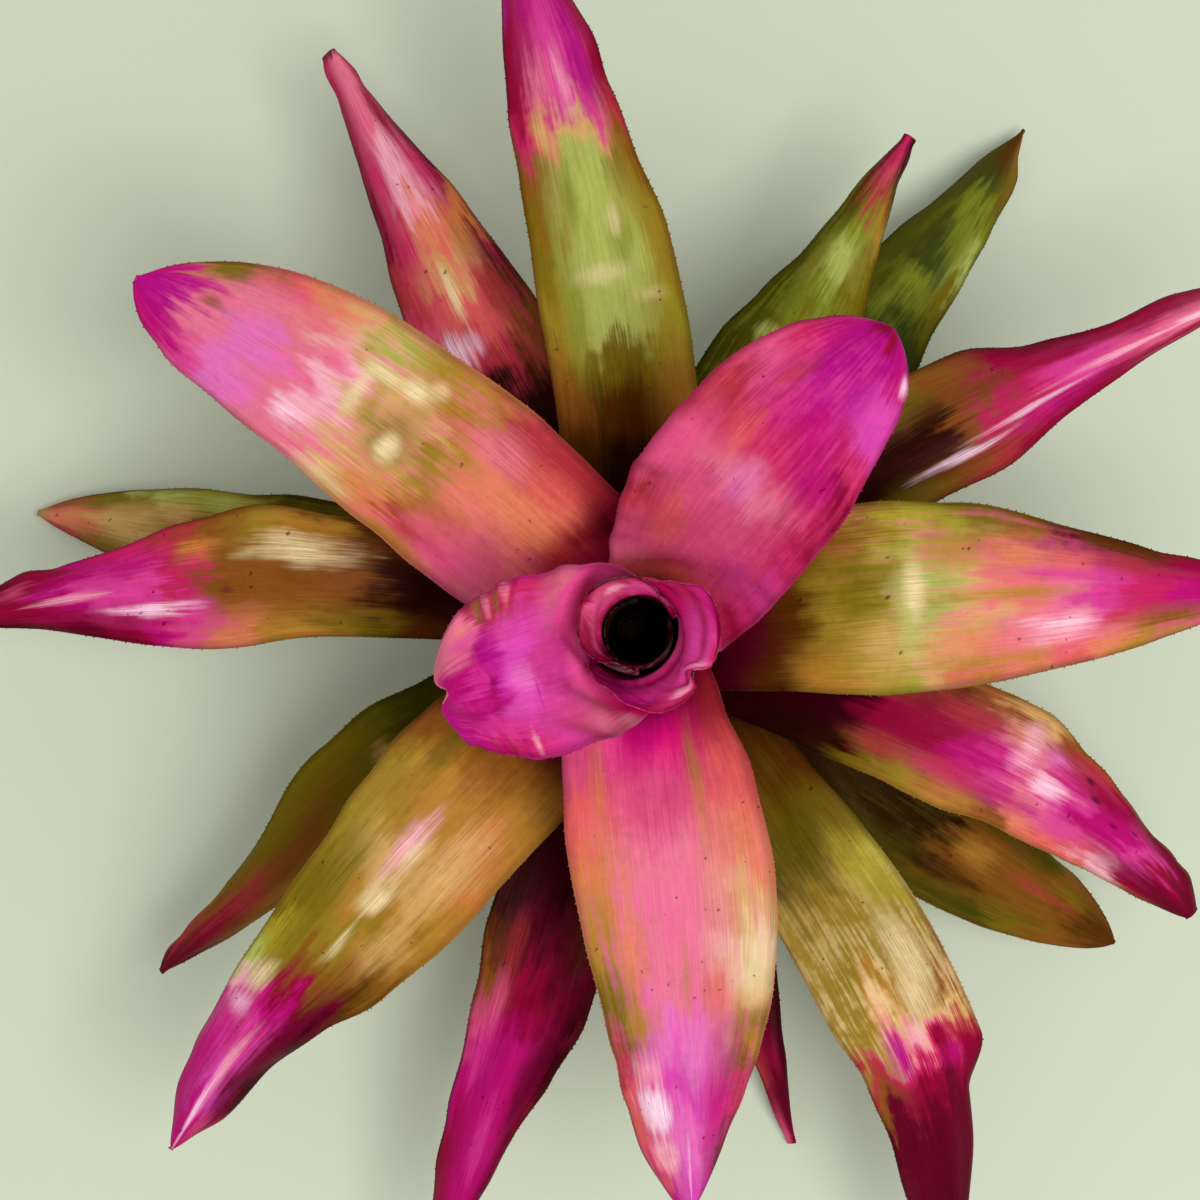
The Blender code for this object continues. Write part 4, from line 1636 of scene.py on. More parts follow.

# Wherever a ramp starts in WINE, PEAT or MAROON, its dark foot is painted shade, where the leaves above
# shade the bases.
PAINTS: dict[str, LeafPaint] = {
    # Painted near black from foot to rim: painted shade deep inside the tank.
    "inner_leaf_1": LeafPaint(
        right=(0, PEAT, 100, PEAT),
        middle=(90, PEAT, 100, WINE),
        left=(60, PEAT, 100, MAROON),
        margin=WINE, streaks=WINE, freckles=0.02, gloss=WINE,
    ),
    # WINE and MAROON at the foot are painted shade inside the tank; FUCHSIA and NEON are painted brighter
    # than the leaf's own pink, as painted light on its shaded inner wall; the BLUSH patch is a painted
    # highlight.
    "inner_leaf_2": LeafPaint(
        right=(0, WINE, 42, CRIMSON, 56, FUCHSIA, 70, NEON, 78, NEON, 84, BRICK, 93, MAROON),
        middle=(0, WINE, 42, MAROON, 56, BERRY, 68, ROSE, 90, ROSE, 98, CRIMSON),
        left=(66, WINE, 74, MAROON, 82, CRIMSON),
        patches=((BLUSH, 79, -38, 5, 16, 80), (CRIMSON, 84, 50, 10, 30, 80)),
        margin=MAROON, margin_strength=0.7, streaks=CERISE, freckles=0.03,
    ),
    # The WINE foot is painted shade inside the tank; FUCHSIA and NEON are painted brighter than the leaf's
    # own pink, as painted light on its shaded inner wall; the two BLUSH patches are painted highlights on
    # the curled rim.
    "inner_leaf_3": LeafPaint(
        right=(0, WINE, 40, CRIMSON, 60, MAGENTA, 75, MAGENTA, 88, BERRY, 100, CRIMSON),
        middle=(0, FUCHSIA, 15, NEON, 45, NEON, 60, FUCHSIA, 75, CERISE, 94, CERISE, 100, BERRY),
        left=(0, CRIMSON, 30, MAGENTA, 60, FUCHSIA, 80, BERRY, 92, MAGENTA, 100, CRIMSON),
        patches=((BLUSH, 93, -10, 4, 10, 60), (BLUSH, 90, -50, 4, 10, 60), (LILAC, 76, 20, 5, 25, 60)),
        margin=BERRY, margin_strength=0.2, streaks=CERISE, freckles=0.05,
    ),
    # BLUSH and NEON at the right foot are painted brighter than its own pink, as painted light on walls
    # shaded by the ring; the LILAC stops and ORCHID patch in the middle are a painted lavender highlight;
    # the VIOLET and CRIMSON lines are painted shade in the groove and creases; along the margins the OLIVE
    # and MAGENTA dashes are painted shade between pleats and the PINK and BLUSH dashes painted highlights on
    # them.
    "inner_leaf_4": LeafPaint(
        right=(0, BLUSH, 15, NEON, 39, NEON, 46, PINK, 62, BERRY, 70, BRICK, 77, BRICK, 82, PINK),
        middle=(
            20, FUCHSIA, 30, NEON, 39, NEON, 47, CERISE, 60, CERISE, 66, LILAC, 71, LILAC, 77, VIOLET,
            84, MAGENTA,
        ),
        left=(
            0, CRIMSON, 20, BERRY, 30, FUCHSIA, 42, PINK, 55, ROSE, 64, CERISE, 72, BERRY, 80, BERRY,
            87, MAGENTA, 97, VIOLET,
        ),
        patches=(
            (LILAC, 60, -45, 8, 25, 50), (ORCHID, 67, 10, 5, 20, 70), (VIOLET, 76, -30, 4, 35, 90),
            (CRIMSON, 78, 5, 2, 30, 60), (PINK, 90, -60, 6, 30, 90), (CORAL, 83, -75, 4, 15, 50),
            (OLIVE, 75.5, -82, 1.4, 16, 70), (OLIVE, 70, -84, 1, 12, 60), (PINK, 72.8, -88, 0.8, 20, 70),
            (PINK, 67, -90, 1, 14, 70), (BLUSH, 70, 84, 1, 16, 60), (MAGENTA, 73, 85, 1.2, 20, 70),
            (MAGENTA, 80, 85, 1.2, 20, 70), (BLUSH, 36, 92, 4, 12, 70), (VIOLET, 63, 28, 0.6, 14, 60),
        ),
        margin=MAGENTA, streaks=LILAC, streak_strength=0.3, freckles=0.1,
    ),
    # NEON at the foot is painted brighter than its own pink, as painted light on the wall near the heart;
    # the GLINT patch is a painted highlight on the right margin, and the MAROON patch painted shade in the
    # crease at the tip.
    "middle_leaf_1": LeafPaint(
        right=(
            15, NEON, 25, BERRY, 38, CERISE, 50, BERRY, 62, BERRY, 68, CRIMSON, 74, BERRY, 80, LILAC,
            87, LILAC, 92, MAGENTA, 99, VIOLET,
        ),
        middle=(
            0, PINK, 12, SALMON, 20, SALMON, 30, ROSE, 52, ROSE, 58, PINK, 67, BERRY, 74, MAGENTA,
            81, VIOLET, 95, VIOLET, 100, CRIMSON,
        ),
        left=(
            0, BLUSH, 12, SALMON, 20, PINK, 30, ROSE, 42, BRICK, 52, ROSE, 60, ROSE, 70, BRICK, 80, ROSE,
            88, BERRY, 95, MAGENTA,
        ),
        patches=(
            (SALMON, 38, 42, 10, 18, 70), (SALMON, 66, 42, 6, 16, 60), (BRICK, 80, 44, 5, 12, 70),
            (CERISE, 38, -45, 6, 25, 80), (MAGENTA, 67, -45, 6, 25, 80), (ORCHID, 58, 5, 5, 20, 60),
            (CRIMSON, 63, -90, 8, 14, 50), (GLINT, 93, -90, 2, 12, 80), (MAROON, 98.5, 20, 1.2, 50, 50),
        ),
        margin=BERRY, streaks=ROSE, streak_strength=0.25, ragged=0.12, freckles=0.4,
    ),
    "middle_leaf_2": LeafPaint(
        right=(
            0, FUCHSIA, 15, NEON, 25, ROSE, 32, SALMON, 40, ORANGE, 48, OCHRE, 55, OCHRE, 62, OLIVE,
            67, UMBER, 72, BRICK, 78, SALMON, 90, SALMON, 97, MAGENTA,
        ),
        middle=(
            0, CRIMSON, 12, MAGENTA, 20, FUCHSIA, 30, ROSE, 40, PINK, 60, PINK, 68, ORCHID, 78, LILAC,
            88, ORCHID, 97, LILAC,
        ),
        left=(
            0, BERRY, 18, BRICK, 30, SALMON, 40, CORAL, 48, TAN, 56, CREAM, 62, TAN, 67, OCHRE, 74, UMBER,
            80, BERRY, 88, MAROON, 97, VIOLET,
        ),
        # The GLINT patch at 80 percent, with the BLUSH patches on either side of it, is a painted highlight,
        # and the GLINT patch at 92 percent a painted highlight along the keel.
        patches=(
            (VIOLET, 16, -10, 8, 30, 50), (NEON, 20, -50, 5, 16, 70), (ORANGE, 30, -62, 12, 10, 60),
            (OCHRE, 30, 42, 10, 8, 70), (CORAL, 55, -45, 10, 16, 80), (OCHRE, 64, -55, 4, 14, 80),
            (OCHRE, 56, 12, 8, 5, 50), (SALMON, 62, 42, 6, 14, 70), (OLIVE, 60, -85, 5, 20, 60),
            (CREAM, 56, 84, 8, 14, 40), (OLIVE, 66, 88, 2.5, 20, 60), (BLUSH, 73, -50, 3, 25, 60),
            (GLINT, 80, -50, 4, 25, 100), (BLUSH, 89, -50, 3, 25, 80), (MAGENTA, 82, 50, 10, 20, 70),
            (GLINT, 92, 0, 6, 4, 50),
        ),
        margin_strength=0.12, streaks=CERISE, freckles=0.4,
    ),
    # The dark foot and the WINE patch near it are painted shade; in the dent near 55 percent the CREAM spot
    # and the CREAM arc round it are painted highlights, and the OLIVE and KHAKI patches inside the arc
    # painted shade; the BLUSH and GLINT patches at 68 and 70 percent are painted highlights.
    "middle_leaf_3": LeafPaint(
        right=(
            0, MAROON, 18, CRIMSON, 28, BRICK, 38, BRICK, 47, OCHRE, 60, PEAR, 66, TAN, 73, CORAL,
            79, SALMON, 85, OLIVE, 89, OCHRE, 94, MAGENTA,
        ),
        middle=(
            0, CRIMSON, 12, BERRY, 20, BRICK, 28, CORAL, 38, CORAL, 46, OCHRE, 53, TAN, 60, TAN, 66, BLUSH,
            72, PINK, 80, ORCHID, 88, PINK, 94, VIOLET,
        ),
        left=(
            16, NEON, 26, PINK, 36, ROSE, 44, BRICK, 52, ORANGE, 60, TAN, 66, PINK, 74, PINK, 82, ORCHID,
            88, CERISE, 93, MAGENTA,
        ),
        patches=(
            (WINE, 19, -60, 5, 30, 60), (ROSE, 30, 45, 10, 30, 60), (SALMON, 29, -50, 6, 20, 70),
            (PINK, 40, -50, 4, 20, 60), (OLIVE, 54, 8, 4, 34, 80, 1), (KHAKI, 47, 15, 3, 30, 70),
            (KHAKI, 59, 0, 1.2, 25, 60, 0.6), (CREAM, 53.6, 21, 1.8, 17, 100, 1),
            (CREAM, 62.2, -10, 1.3, 36, 80, 0.7), (CREAM, 60, -42, 3, 9, 90, 0.5),
            (CREAM, 55, -46, 2.5, 12, 100, 0.6), (CREAM, 52, -60, 1.5, 10, 60, 0.6),
            (LIME, 60, -75, 4, 20, 60), (BLUSH, 68, 40, 3, 20, 70), (GLINT, 70, 55, 2.5, 12, 70),
            (PINK, 83, -45, 7, 30, 80), (OLIVE, 88, -85, 3, 25, 80), (UMBER, 88, -20, 2, 12, 70),
            (OCHRE, 46, 95, 10, 10, 70), (CREAM, 60, 90, 6, 10, 50),
        ),
        margin_strength=0.15, streaks=ROSE, streak_strength=0.4, freckles=0.2,
    ),
    # The dark foot is painted shade; at the kink near 42 percent the LIME and CREAM patches are a painted
    # highlight and the OLIVE patch before them painted shade; the GLINT and BLUSH patches near 66 percent
    # are painted highlights.
    "middle_leaf_4": LeafPaint(
        right=(
            0, WINE, 14, MAROON, 22, BROWN, 30, OCHRE, 40, PEAR, 47, TAN, 53, ORANGE, 60, CORAL, 67, SALMON,
            73, CORAL, 80, OCHRE, 90, ROSE, 100, MAGENTA,
        ),
        middle=(
            18, MAROON, 26, BROWN, 33, KHAKI, 40, PEAR, 44, LIME, 52, TAN, 59, CORAL, 65, PINK, 72, CERISE,
            80, BERRY, 88, MAGENTA,
        ),
        left=(
            18, MAROON, 26, BROWN, 35, UMBER, 44, PEAR, 52, OLIVE, 60, UMBER, 67, MAROON, 74, BROWN,
            80, BROWN, 88, CRIMSON,
        ),
        patches=(
            (TAN, 40, -45, 5, 25, 80), (OLIVE, 37, 20, 5, 30, 90, 1.2), (LIME, 43, -20, 2, 60, 70, 0.8),
            (CREAM, 44, 10, 1.6, 30, 90, 0.6), (OCHRE, 58, 0, 10, 8, 70), (OCHRE, 55, -75, 10, 10, 70),
            (CERISE, 66, 25, 8, 10, 80), (CORAL, 50, -50, 5, 16, 60), (OCHRE, 50, 50, 5, 16, 70),
            (PINK, 60, -45, 5, 20, 80), (CORAL, 60, 50, 6, 16, 70), (BLUSH, 67, -45, 6, 20, 80),
            (GLINT, 66, -40, 5, 8, 50), (SALMON, 67, 45, 4, 16, 70), (BRICK, 76, 50, 5, 20, 80),
            (UMBER, 84, -50, 7, 25, 90),
        ),
        margin=OLIVE, streaks=ROSE, streak_strength=0.45, streak_end=0.72, freckles=0.4,
    ),
    # The dark foot is painted shade; the BLUSH and CREAM patches from 41 to 58 percent, the CREAM and GLINT
    # ones at 70 and 75, and the BLUSH and GLINT ones near the tip are painted highlights.
    "middle_leaf_5": LeafPaint(
        right=(
            20, PEAT, 29, UMBER, 36, KHAKI, 44, KHAKI, 50, OLIVE, 58, OLIVE, 64, PEAR, 69, LIME, 73, BLUSH,
            78, CERISE, 85, MAGENTA,
        ),
        middle=(
            0, WINE, 18, MAROON, 24, UMBER, 33, OCHRE, 39, OCHRE, 45, TAN, 54, OCHRE, 60, KHAKI, 65, UMBER,
            69, CRIMSON, 73, MAGENTA, 80, CERISE, 88, LILAC, 95, MAGENTA,
        ),
        left=(
            0, WINE, 18, BROWN, 28, OCHRE, 40, ORANGE, 50, OCHRE, 58, UMBER, 66, BROWN, 70, MAROON, 76, WINE,
            90, WINE, 97, CRIMSON,
        ),
        patches=(
            (OLIVE, 30, -50, 4, 20, 70), (BLUSH, 41, -2, 5, 14, 90), (CREAM, 42, 5, 3, 10, 70),
            (CREAM, 50, 12, 3, 14, 100), (CREAM, 58, 10, 4, 6, 80), (CORAL, 36, 50, 6, 20, 50),
            (TAN, 40, 48, 7, 24, 90), (TAN, 45, 50, 5, 16, 60), (TAN, 54, 55, 6, 20, 60),
            (OLIVE, 54, -45, 10, 25, 80), (CREAM, 70, -50, 2.5, 20, 80), (GLINT, 75, -50, 2, 20, 60),
            (UMBER, 63, 40, 4, 20, 70), (MAROON, 80, 55, 13, 30, 90), (MAGENTA, 85, -50, 9, 30, 80),
            (BLUSH, 86, 5, 7, 10, 70), (GLINT, 93, 2, 6, 7, 70), (ROSE, 95, 50, 3, 20, 60),
        ),
        margin=OCHRE, margin_strength=0.15, streaks=OLIVE, streak_end=0.68, freckles=0.3,
    ),
    # The dark foot is painted shade; the CREAM patches from 42 to 52 percent are painted highlights on the
    # cross ridges.
    "middle_leaf_6": LeafPaint(
        right=(
            0, WINE, 14, MAROON, 22, UMBER, 29, OCHRE, 38, PEAR, 46, KHAKI, 54, KHAKI, 62, UMBER, 67, BRICK,
            72, CRIMSON, 80, CRIMSON, 95, VIOLET,
        ),
        middle=(
            0, WINE, 20, PEAT, 28, BROWN, 34, OLIVE, 38, LIME, 61, LIME, 66, TAN, 70, CERISE, 80, CERISE,
            92, MAGENTA,
        ),
        left=(
            0, WINE, 15, MAROON, 22, BROWN, 30, UMBER, 40, KHAKI, 50, OLIVE, 60, UMBER, 66, BERRY,
            72, CRIMSON, 80, CRIMSON, 95, VIOLET,
        ),
        patches=(
            (LIME, 46, -50, 6, 16, 70), (OLIVE, 60, -50, 4, 16, 70), (GREEN, 38, 50, 8, 20, 70),
            (CREAM, 45.5, 5, 1.4, 35, 50, 0.9), (CREAM, 42, -55, 1, 20, 35, 0.9),
            (GREEN, 50, -30, 3, 20, 60), (CREAM, 52, -25, 2, 10, 50), (GREEN, 56, 30, 5, 12, 70),
            (TAN, 65, 50, 3, 16, 70), (ROSE, 66, -50, 2, 16, 70), (VIOLET, 76, -45, 9, 25, 90),
            (PINK, 73, 40, 4, 20, 70), (BLUSH, 72, 0, 5, 12, 60),
        ),
        margin=UMBER, streaks=OLIVE, streak_strength=0.3, streak_end=0.66, freckles=0.3, gloss=TAN,
    ),
    # The near-black foot is painted shade from the leaves above; the BLUSH and GLINT patches at 60 and 66
    # percent are painted highlights.
    "outer_leaf_1": LeafPaint(
        right=(
            0, WINE, 30, PEAT, 36, OLIVE, 42, KHAKI, 50, OCHRE, 60, UMBER, 65, CORAL, 73, SALMON, 80, BLUSH,
            86, CRIMSON, 95, MAROON,
        ),
        middle=(
            30, WINE, 37, CRIMSON, 46, CRIMSON, 53, MAGENTA, 59, CERISE, 65, PINK, 70, CERISE, 76, MAGENTA,
            82, MAGENTA, 87, CERISE, 93, CRIMSON, 100, MAROON,
        ),
        left=(
            0, WINE, 30, BROWN, 38, UMBER, 46, BROWN, 53, UMBER, 60, TAN, 66, UMBER, 72, BRICK, 80, CRIMSON,
            88, MAROON,
        ),
        patches=(
            (BRICK, 38, -50, 4, 20, 70), (BERRY, 50, -45, 7, 20, 80), (MAGENTA, 60, -50, 5, 20, 70),
            (CERISE, 70, -50, 5, 20, 80), (MAROON, 90, -50, 8, 25, 70), (BRICK, 50, 50, 6, 20, 80),
            (BLUSH, 60, 40, 2, 30, 80), (GLINT, 66, 0, 3, 20, 80), (ORCHID, 65, 50, 3, 16, 70),
            (CRIMSON, 75, 45, 6, 20, 80), (WINE, 74, 30, 1.2, 6, 80), (WINE, 79, 10, 1, 5, 80),
            (WINE, 72, 55, 1, 5, 80), (WINE, 83, 30, 0.8, 5, 70),
        ),
        margin=OCHRE, streaks=CRIMSON, freckles=0.5,
    ),
    # The dark foot is painted shade; the CREAM patches at 46 and 52 percent are painted highlights.
    "outer_leaf_2": LeafPaint(
        right=(0, PEAT, 20, BROWN, 30, MOSS, 38, KHAKI, 53, KHAKI, 59, BRICK, 64, UMBER, 69, MAROON),
        middle=(
            0, PEAT, 20, BROWN, 28, MOSS, 37, KHAKI, 45, KHAKI, 50, OCHRE, 54, TAN, 57, PINK, 59.5, BERRY,
            63, CRIMSON, 68, MAROON, 100, WINE,
        ),
        left=(
            0, WINE, 20, BROWN, 27, OLIVE, 36, PEAR, 44, KHAKI, 50, UMBER, 55, TAN, 58.5, BRICK,
            61.5, CRIMSON, 70, MAROON, 100, WINE,
        ),
        patches=(
            (CREAM, 46, 50, 5, 20, 70), (CREAM, 52, 35, 3, 20, 70), (PEAR, 33, 50, 5, 16, 80),
            (BLUSH, 56.5, 10, 2, 14, 70), (VIOLET, 57, -25, 3.5, 14, 90), (OLIVE, 25, 0, 10, 60, 50),
            (MAGENTA, 61, 50, 2, 16, 80), (CRIMSON, 66, -40, 2, 30, 60),
        ),
        margin=TAN, margin_strength=0.2, streaks=CREAM, streak_strength=0.45, streak_end=0.57, freckles=0.45,
    ),
    # The dark foot is painted shade; the CREAM patch at 44 percent and the GLINT patch at 67 are painted
    # highlights.
    "outer_leaf_3": LeafPaint(
        right=(
            0, WINE, 28, BROWN, 36, BROWN, 44, OCHRE, 50, KHAKI, 58, UMBER, 64, BRICK, 68, BERRY,
            74, MAGENTA, 82, CRIMSON, 92, MAROON,
        ),
        middle=(
            0, WINE, 30, PEAT, 37, UMBER, 57, UMBER, 63, BERRY, 68, CERISE, 75, CERISE, 80, MAGENTA,
            86, CRIMSON,
        ),
        left=(
            0, WINE, 28, BROWN, 36, OLIVE, 46, OCHRE, 52, CORAL, 58, ROSE, 64, MAGENTA, 70, CRIMSON,
            78, MAROON, 95, WINE,
        ),
        patches=(
            (CREAM, 44, -45, 7, 20, 90), (ORANGE, 59, -50, 3, 20, 80), (CERISE, 60, 45, 3, 25, 90),
            (GLINT, 67, 40, 6, 12, 90), (MAGENTA, 70, -50, 6, 25, 90), (ROSE, 87, -50, 3, 20, 70),
            (BLUSH, 79, 5, 5, 10, 70), (CRIMSON, 80, 50, 6, 25, 80), (MAROON, 55, 15, 1, 6, 60),
        ),
        margin=UMBER, margin_strength=0.2, streaks=UMBER, streak_end=0.58, freckles=0.35,
    ),
    # The dark foot is painted shade; the GLINT and BLUSH patches are painted highlights along the keel.
    "outer_leaf_4": LeafPaint(
        right=(0, WINE, 30, PEAT, 36, OLIVE, 44, UMBER, 51, BRICK, 58, CRIMSON),
        middle=(
            0, WINE, 34, PEAT, 42, PEAT, 49, UMBER, 54, BERRY, 66, CERISE, 72, ROSE, 85, PINK, 100, MAGENTA,
        ),
        left=(0, WINE, 32, PEAT, 40, OLIVE, 50, UMBER, 56, CRIMSON, 80, CRIMSON, 100, VIOLET),
        patches=(
            (GLINT, 46, -45, 6, 8, 80), (MAGENTA, 60, -50, 8, 20, 80), (GLINT, 56, -30, 8, 6, 70),
            (BLUSH, 70, -10, 8, 8, 80), (GLINT, 82, -2, 5, 12, 70), (CRIMSON, 72, 50, 20, 20, 80),
            (CRIMSON, 74, -50, 13, 20, 80), (MAROON, 60, 90, 10, 20, 70),
        ),
        margin=BROWN, streaks=MAROON, streak_end=0.56, freckles=0.4,
    ),
    "outer_leaf_5": LeafPaint(
        right=(0, WINE, 36, PEAT, 42, BROWN, 48, UMBER, 54, ROSE, 62, MAGENTA, 75, CRIMSON),
        middle=(33, WINE, 43, MAROON, 50, CRIMSON, 58, MAGENTA, 80, MAGENTA, 100, CRIMSON),
        left=(0, WINE, 38, BROWN, 45, MAROON, 52, WINE, 62, WINE, 70, MAROON, 100, WINE),
        patches=(
            (ROSE, 50, -50, 4, 14, 70), (BRICK, 42, -45, 5, 14, 60), (CERISE, 60, -60, 5, 20, 50),
            (CERISE, 72, 2, 6, 16, 50), (MAROON, 62, 50, 8, 25, 80),
        ),
        margin=BROWN, streaks=CRIMSON, freckles=0.6,
    ),
    # The dark foot is painted shade; the GLINT and CREAM patches from 45 to 55 percent are painted
    # highlights.
    "outer_leaf_6": LeafPaint(
        right=(
            0, WINE, 34, PEAT, 42, UMBER, 47, UMBER, 53, BROWN, 60, MAROON, 66, ORANGE, 71, MAROON,
            80, MAROON, 100, CRIMSON,
        ),
        middle=(
            0, WINE, 38, PEAT, 43, BRICK, 48, SALMON, 54, SALMON, 59, TAN, 66, CORAL, 73, BLUSH, 80, BLUSH,
            87, PINK,
        ),
        left=(
            36, WINE, 42, BRICK, 48, ROSE, 54, BRICK, 60, BRICK, 66, MAROON, 75, MAROON, 88, CRIMSON,
            100, BERRY,
        ),
        patches=(
            (GLINT, 45, 45, 3, 20, 90), (CREAM, 55, 10, 4, 10, 90), (GLINT, 46, 10, 2, 10, 50),
            (BRICK, 52, -50, 4, 20, 70), (ORANGE, 64, -50, 5, 20, 70), (BERRY, 76, -50, 8, 25, 90),
            (BERRY, 64, 50, 6, 25, 90), (BERRY, 78, 50, 10, 25, 90), (CRIMSON, 88, -45, 6, 25, 90),
            (PEAT, 100, 0, 1.2, 90, 90),
        ),
        margin=BROWN, margin_strength=0.25, streaks=BERRY, streak_strength=0.4, freckles=0.45,
    ),
    # The dark foot is painted shade; the TAN patch is a painted highlight.
    "outer_leaf_7": LeafPaint(
        right=(0, WINE, 35, MOSS, 50, OLIVE, 78, OLIVE, 86, UMBER, 93, BRICK, 100, MAROON),
        middle=(0, WINE, 35, MOSS, 45, OLIVE, 60, UMBER, 68, UMBER, 78, BRICK, 86, CRIMSON, 100, MAROON),
        left=(0, WINE, 40, UMBER, 50, OCHRE, 70, OCHRE, 84, UMBER, 95, MAROON),
        patches=(
            (TAN, 42, -30, 2, 20, 60), (OLIVE, 52, 10, 5, 30, 60), (MAROON, 95, 30, 6, 40, 70),
            (OLIVE, 68, -40, 10, 25, 60), (UMBER, 82, -45, 6, 20, 60),
        ),
        margin=OLIVE, streaks=MOSS, streak_strength=0.3, freckles=0.4, gloss=TAN,
    ),
    "outer_leaf_8": LeafPaint(
        right=(0, PEAT, 50, OLIVE, 74, OLIVE, 80, OCHRE, 85, UMBER, 92, WINE),
        middle=(0, PEAT, 40, MOSS, 56, OLIVE, 64, GREEN, 72, LIME, 80, GREEN, 86, BRICK, 94, BERRY),
        left=(0, PEAT, 40, MOSS, 78, MOSS, 86, BROWN, 95, MAROON),
        patches=(
            (OLIVE, 70, 50, 6, 20, 70), (OLIVE, 72, -50, 5, 20, 70), (MOSS, 82, 50, 5, 25, 80),
            (LIME, 54, 40, 2, 20, 70),
        ),
        margin=MOSS, streaks=GREEN, freckles=0.2, gloss=LIME,
    ),
    "outer_leaf_9": LeafPaint(
        right=(0, WINE, 50, MOSS, 72, MOSS, 80, OLIVE, 90, UMBER, 100, BROWN),
        middle=(0, WINE, 40, PEAT, 56, PEAT, 63, UMBER, 84, UMBER, 95, BROWN),
        left=(0, WINE, 55, PEAT, 68, BROWN, 80, MOSS, 86, UMBER, 100, BROWN),
        patches=(
            (PEAT, 62, -45, 8, 25, 70), (OCHRE, 67, 5, 4, 20, 60), (BRICK, 82, 10, 8, 12, 50),
            (OLIVE, 88, 45, 5, 20, 70),
        ),
        margin=OCHRE, margin_strength=0.15, streaks=MOSS, streak_strength=0.4, freckles=0.5, gloss=TAN,
    ),
    "outer_leaf_10": LeafPaint(
        right=(0, PEAT, 50, MOSS, 66, PEAR, 76, LIME, 82, OLIVE, 90, OLIVE, 96, BRICK),
        middle=(0, PEAT, 50, MOSS, 70, UMBER, 78, TAN, 86, TAN, 92, CORAL),
        left=(0, PEAT, 50, MOSS, 80, OLIVE, 88, UMBER, 94, BRICK),
        patches=((TAN, 72, -40, 4, 25, 80), (LIME, 64, -70, 6, 25, 80), (OLIVE, 88, -50, 3, 20, 70)),
        margin=BROWN, streaks=OLIVE, streak_strength=0.4, freckles=0.25, dry_tip=0.985, gloss=LIME,
    ),
    "outer_leaf_11": LeafPaint(
        right=(0, PEAT, 55, PINE, 65, OLIVE, 71, LIME, 78, GREEN, 86, OLIVE, 97, UMBER),
        middle=(0, PEAT, 55, PINE, 64, GREEN, 70, PINE, 80, GREEN, 88, PINE, 97, BROWN),
        left=(0, PEAT, 50, MOSS),
        patches=((MOSS, 72, 45, 15, 20, 60), (GREEN, 75, -45, 6, 20, 60)),
        margin=MOSS, streaks=PINE, gloss=LIME,
    ),
    "outer_leaf_12": LeafPaint(
        right=(0, WINE, 74, BRICK, 82, BRICK, 88, CRIMSON, 100, ROSE),
        middle=(0, WINE, 70, MAROON, 80, CRIMSON, 88, MAROON, 95, MAROON, 100, CRIMSON),
        left=(80, WINE, 100, MAROON),
        margin=MAROON, streaks=WINE, freckles=0.3,
    ),
}


# ---- The studio ----


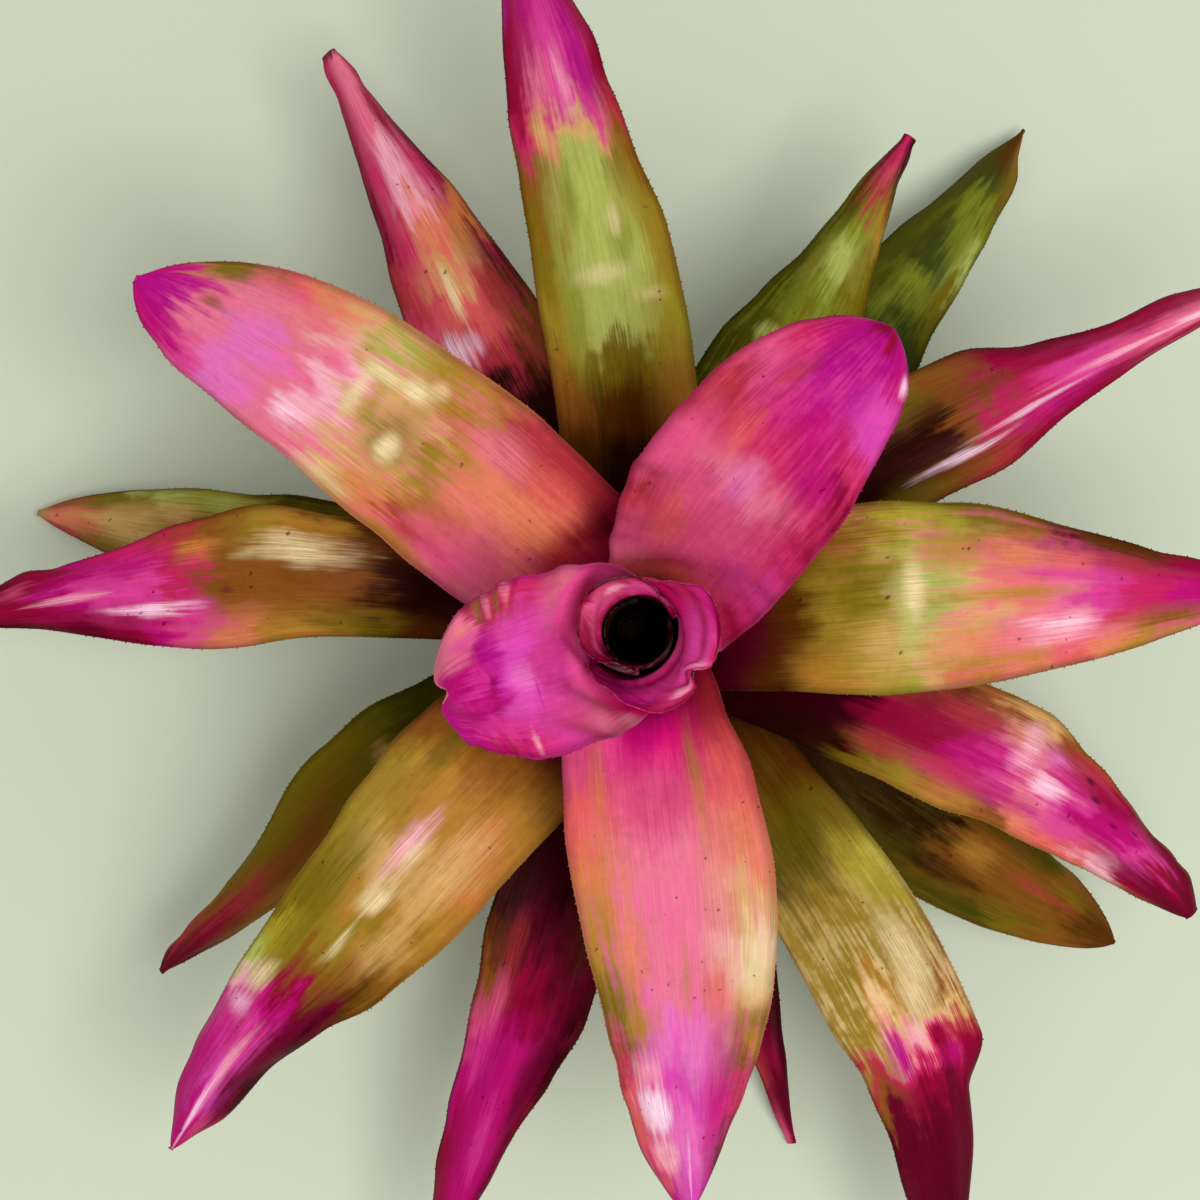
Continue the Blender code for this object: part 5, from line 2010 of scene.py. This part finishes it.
@dataclass
class Studio:
    """A pale floor, soft light from above and a camera that looks straight down."""

    floor_colour: tuple[float, float, float, float] = (0.62, 0.68, 0.53, 1.0)
    floor_size: float = 12.0
    world_light: tuple[float, float, float, float] = (1.0, 1.0, 0.98, 1.0)
    world_strength: float = 0.58
    backdrop_strength: float = 0.95
    zenith_strength: float = 0.08
    key_power: float = 22.0
    key_size: float = 1.0
    key_place: tuple[float, float, float] = (0.5, -0.3, 1.85)
    key_aim: tuple[float, float, float] = (0.0, 0.0, 0.1)
    camera_place: tuple[float, float, float] = (-0.0109, 0.0096, 1.1)
    lens: float = 100.0

    def build(self) -> None:
        """Sets everything that isn't part of the plant."""
        self.build_floor()
        self.build_world()
        self.build_lamp()
        self.build_camera()
        bpy.context.scene.view_settings.view_transform = "Standard"

    def build_floor(self) -> None:
        """A wide plain floor, which keeps the plant's shadow."""
        deselect()
        bpy.ops.mesh.primitive_plane_add(size=self.floor_size)
        floor = bpy.context.object
        floor.name = "studio_floor"
        finish = Finish("studio_floor_paint")
        darker = tuple(0.93 * c for c in self.floor_colour[:3]) + (1.0,)
        unevenness = finish.wiring.noise(finish.position(), 1.1, 1.0)
        colour = finish.wiring.mixed(unevenness, darker, self.floor_colour)
        floor.data.materials.append(finish.coated(colour, 0.9, 0.1))

    def build_world(self) -> None:
        """Even light for the plant, and the floor's colour for what is seen behind it."""
        world = bpy.data.worlds.new("studio")
        world.use_nodes = True
        bpy.context.scene.world = world
        w = Wiring(world.node_tree)
        path = w.node("LightPath").outputs
        seen = w.math("MAXIMUM", path["Is Camera Ray"], path["Is Glossy Ray"])
        seen = w.math("MAXIMUM", seen, path["Is Transmission Ray"])
        up = w.parts(w.node("TexCoord").outputs["Generated"])[2]
        fade = w.spread(up, 0.25, 0.65, self.backdrop_strength, self.zenith_strength)
        light, backdrop = (
            w.fed(w.node("Background"), colour, strength).outputs[0]
            for colour, strength in ((self.world_light, self.world_strength), (self.floor_colour, fade))
        )
        both = w.fed(w.node("MixShader"), seen, light, backdrop).outputs[0]
        w.feed(world.node_tree.nodes["World Output"].inputs[0], both)

    def build_lamp(self) -> None:
        """One large soft lamp above, a little to one side."""
        data = bpy.data.lights.new("key_lamp", "AREA")
        data.energy = self.key_power
        data.shape = "DISK"
        data.size = self.key_size
        lamp = self.put("key_lamp", data, self.key_place)
        lamp.rotation_euler = (Vector(self.key_aim) - lamp.location).to_track_quat("-Z", "Y").to_euler()

    def build_camera(self) -> None:
        """A camera straight above the heart."""
        data = bpy.data.cameras.new("camera")
        data.lens = self.lens
        data.sensor_width = 36.0
        data.clip_start = 0.05
        data.clip_end = 40.0
        bpy.context.scene.camera = self.put("camera", data, self.camera_place)

    @staticmethod
    def put(name: str, data: bpy.types.ID, place: tuple[float, float, float]) -> bpy.types.Object:
        """Puts a lamp or a camera in the studio.

        Args:
            name: Its name.
            data: The lamp or the camera.
            place: Where it stands.

        Returns:
            The new object.
        """
        made = bpy.data.objects.new(name, data)
        made.location = place
        bpy.context.scene.collection.objects.link(made)
        return made


# ---- The whole plant ----


def main() -> None:
    """Builds the studio, the stem and every leaf, and notes the sizes."""
    logging.basicConfig(level=logging.INFO, format="%(name)s: %(message)s")
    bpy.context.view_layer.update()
    Studio().build()
    stem_effects = StemEffects()
    CutStem().build(stem_effects)
    DryScales().build(stem_effects)
    effects = LeafEffects()
    for seed, (name, form) in enumerate(FORMS.items(), start=1):
        PaintedLeaf(name, form, PAINTS[name], seed).build(effects)


if __name__ == "__main__":
    main()
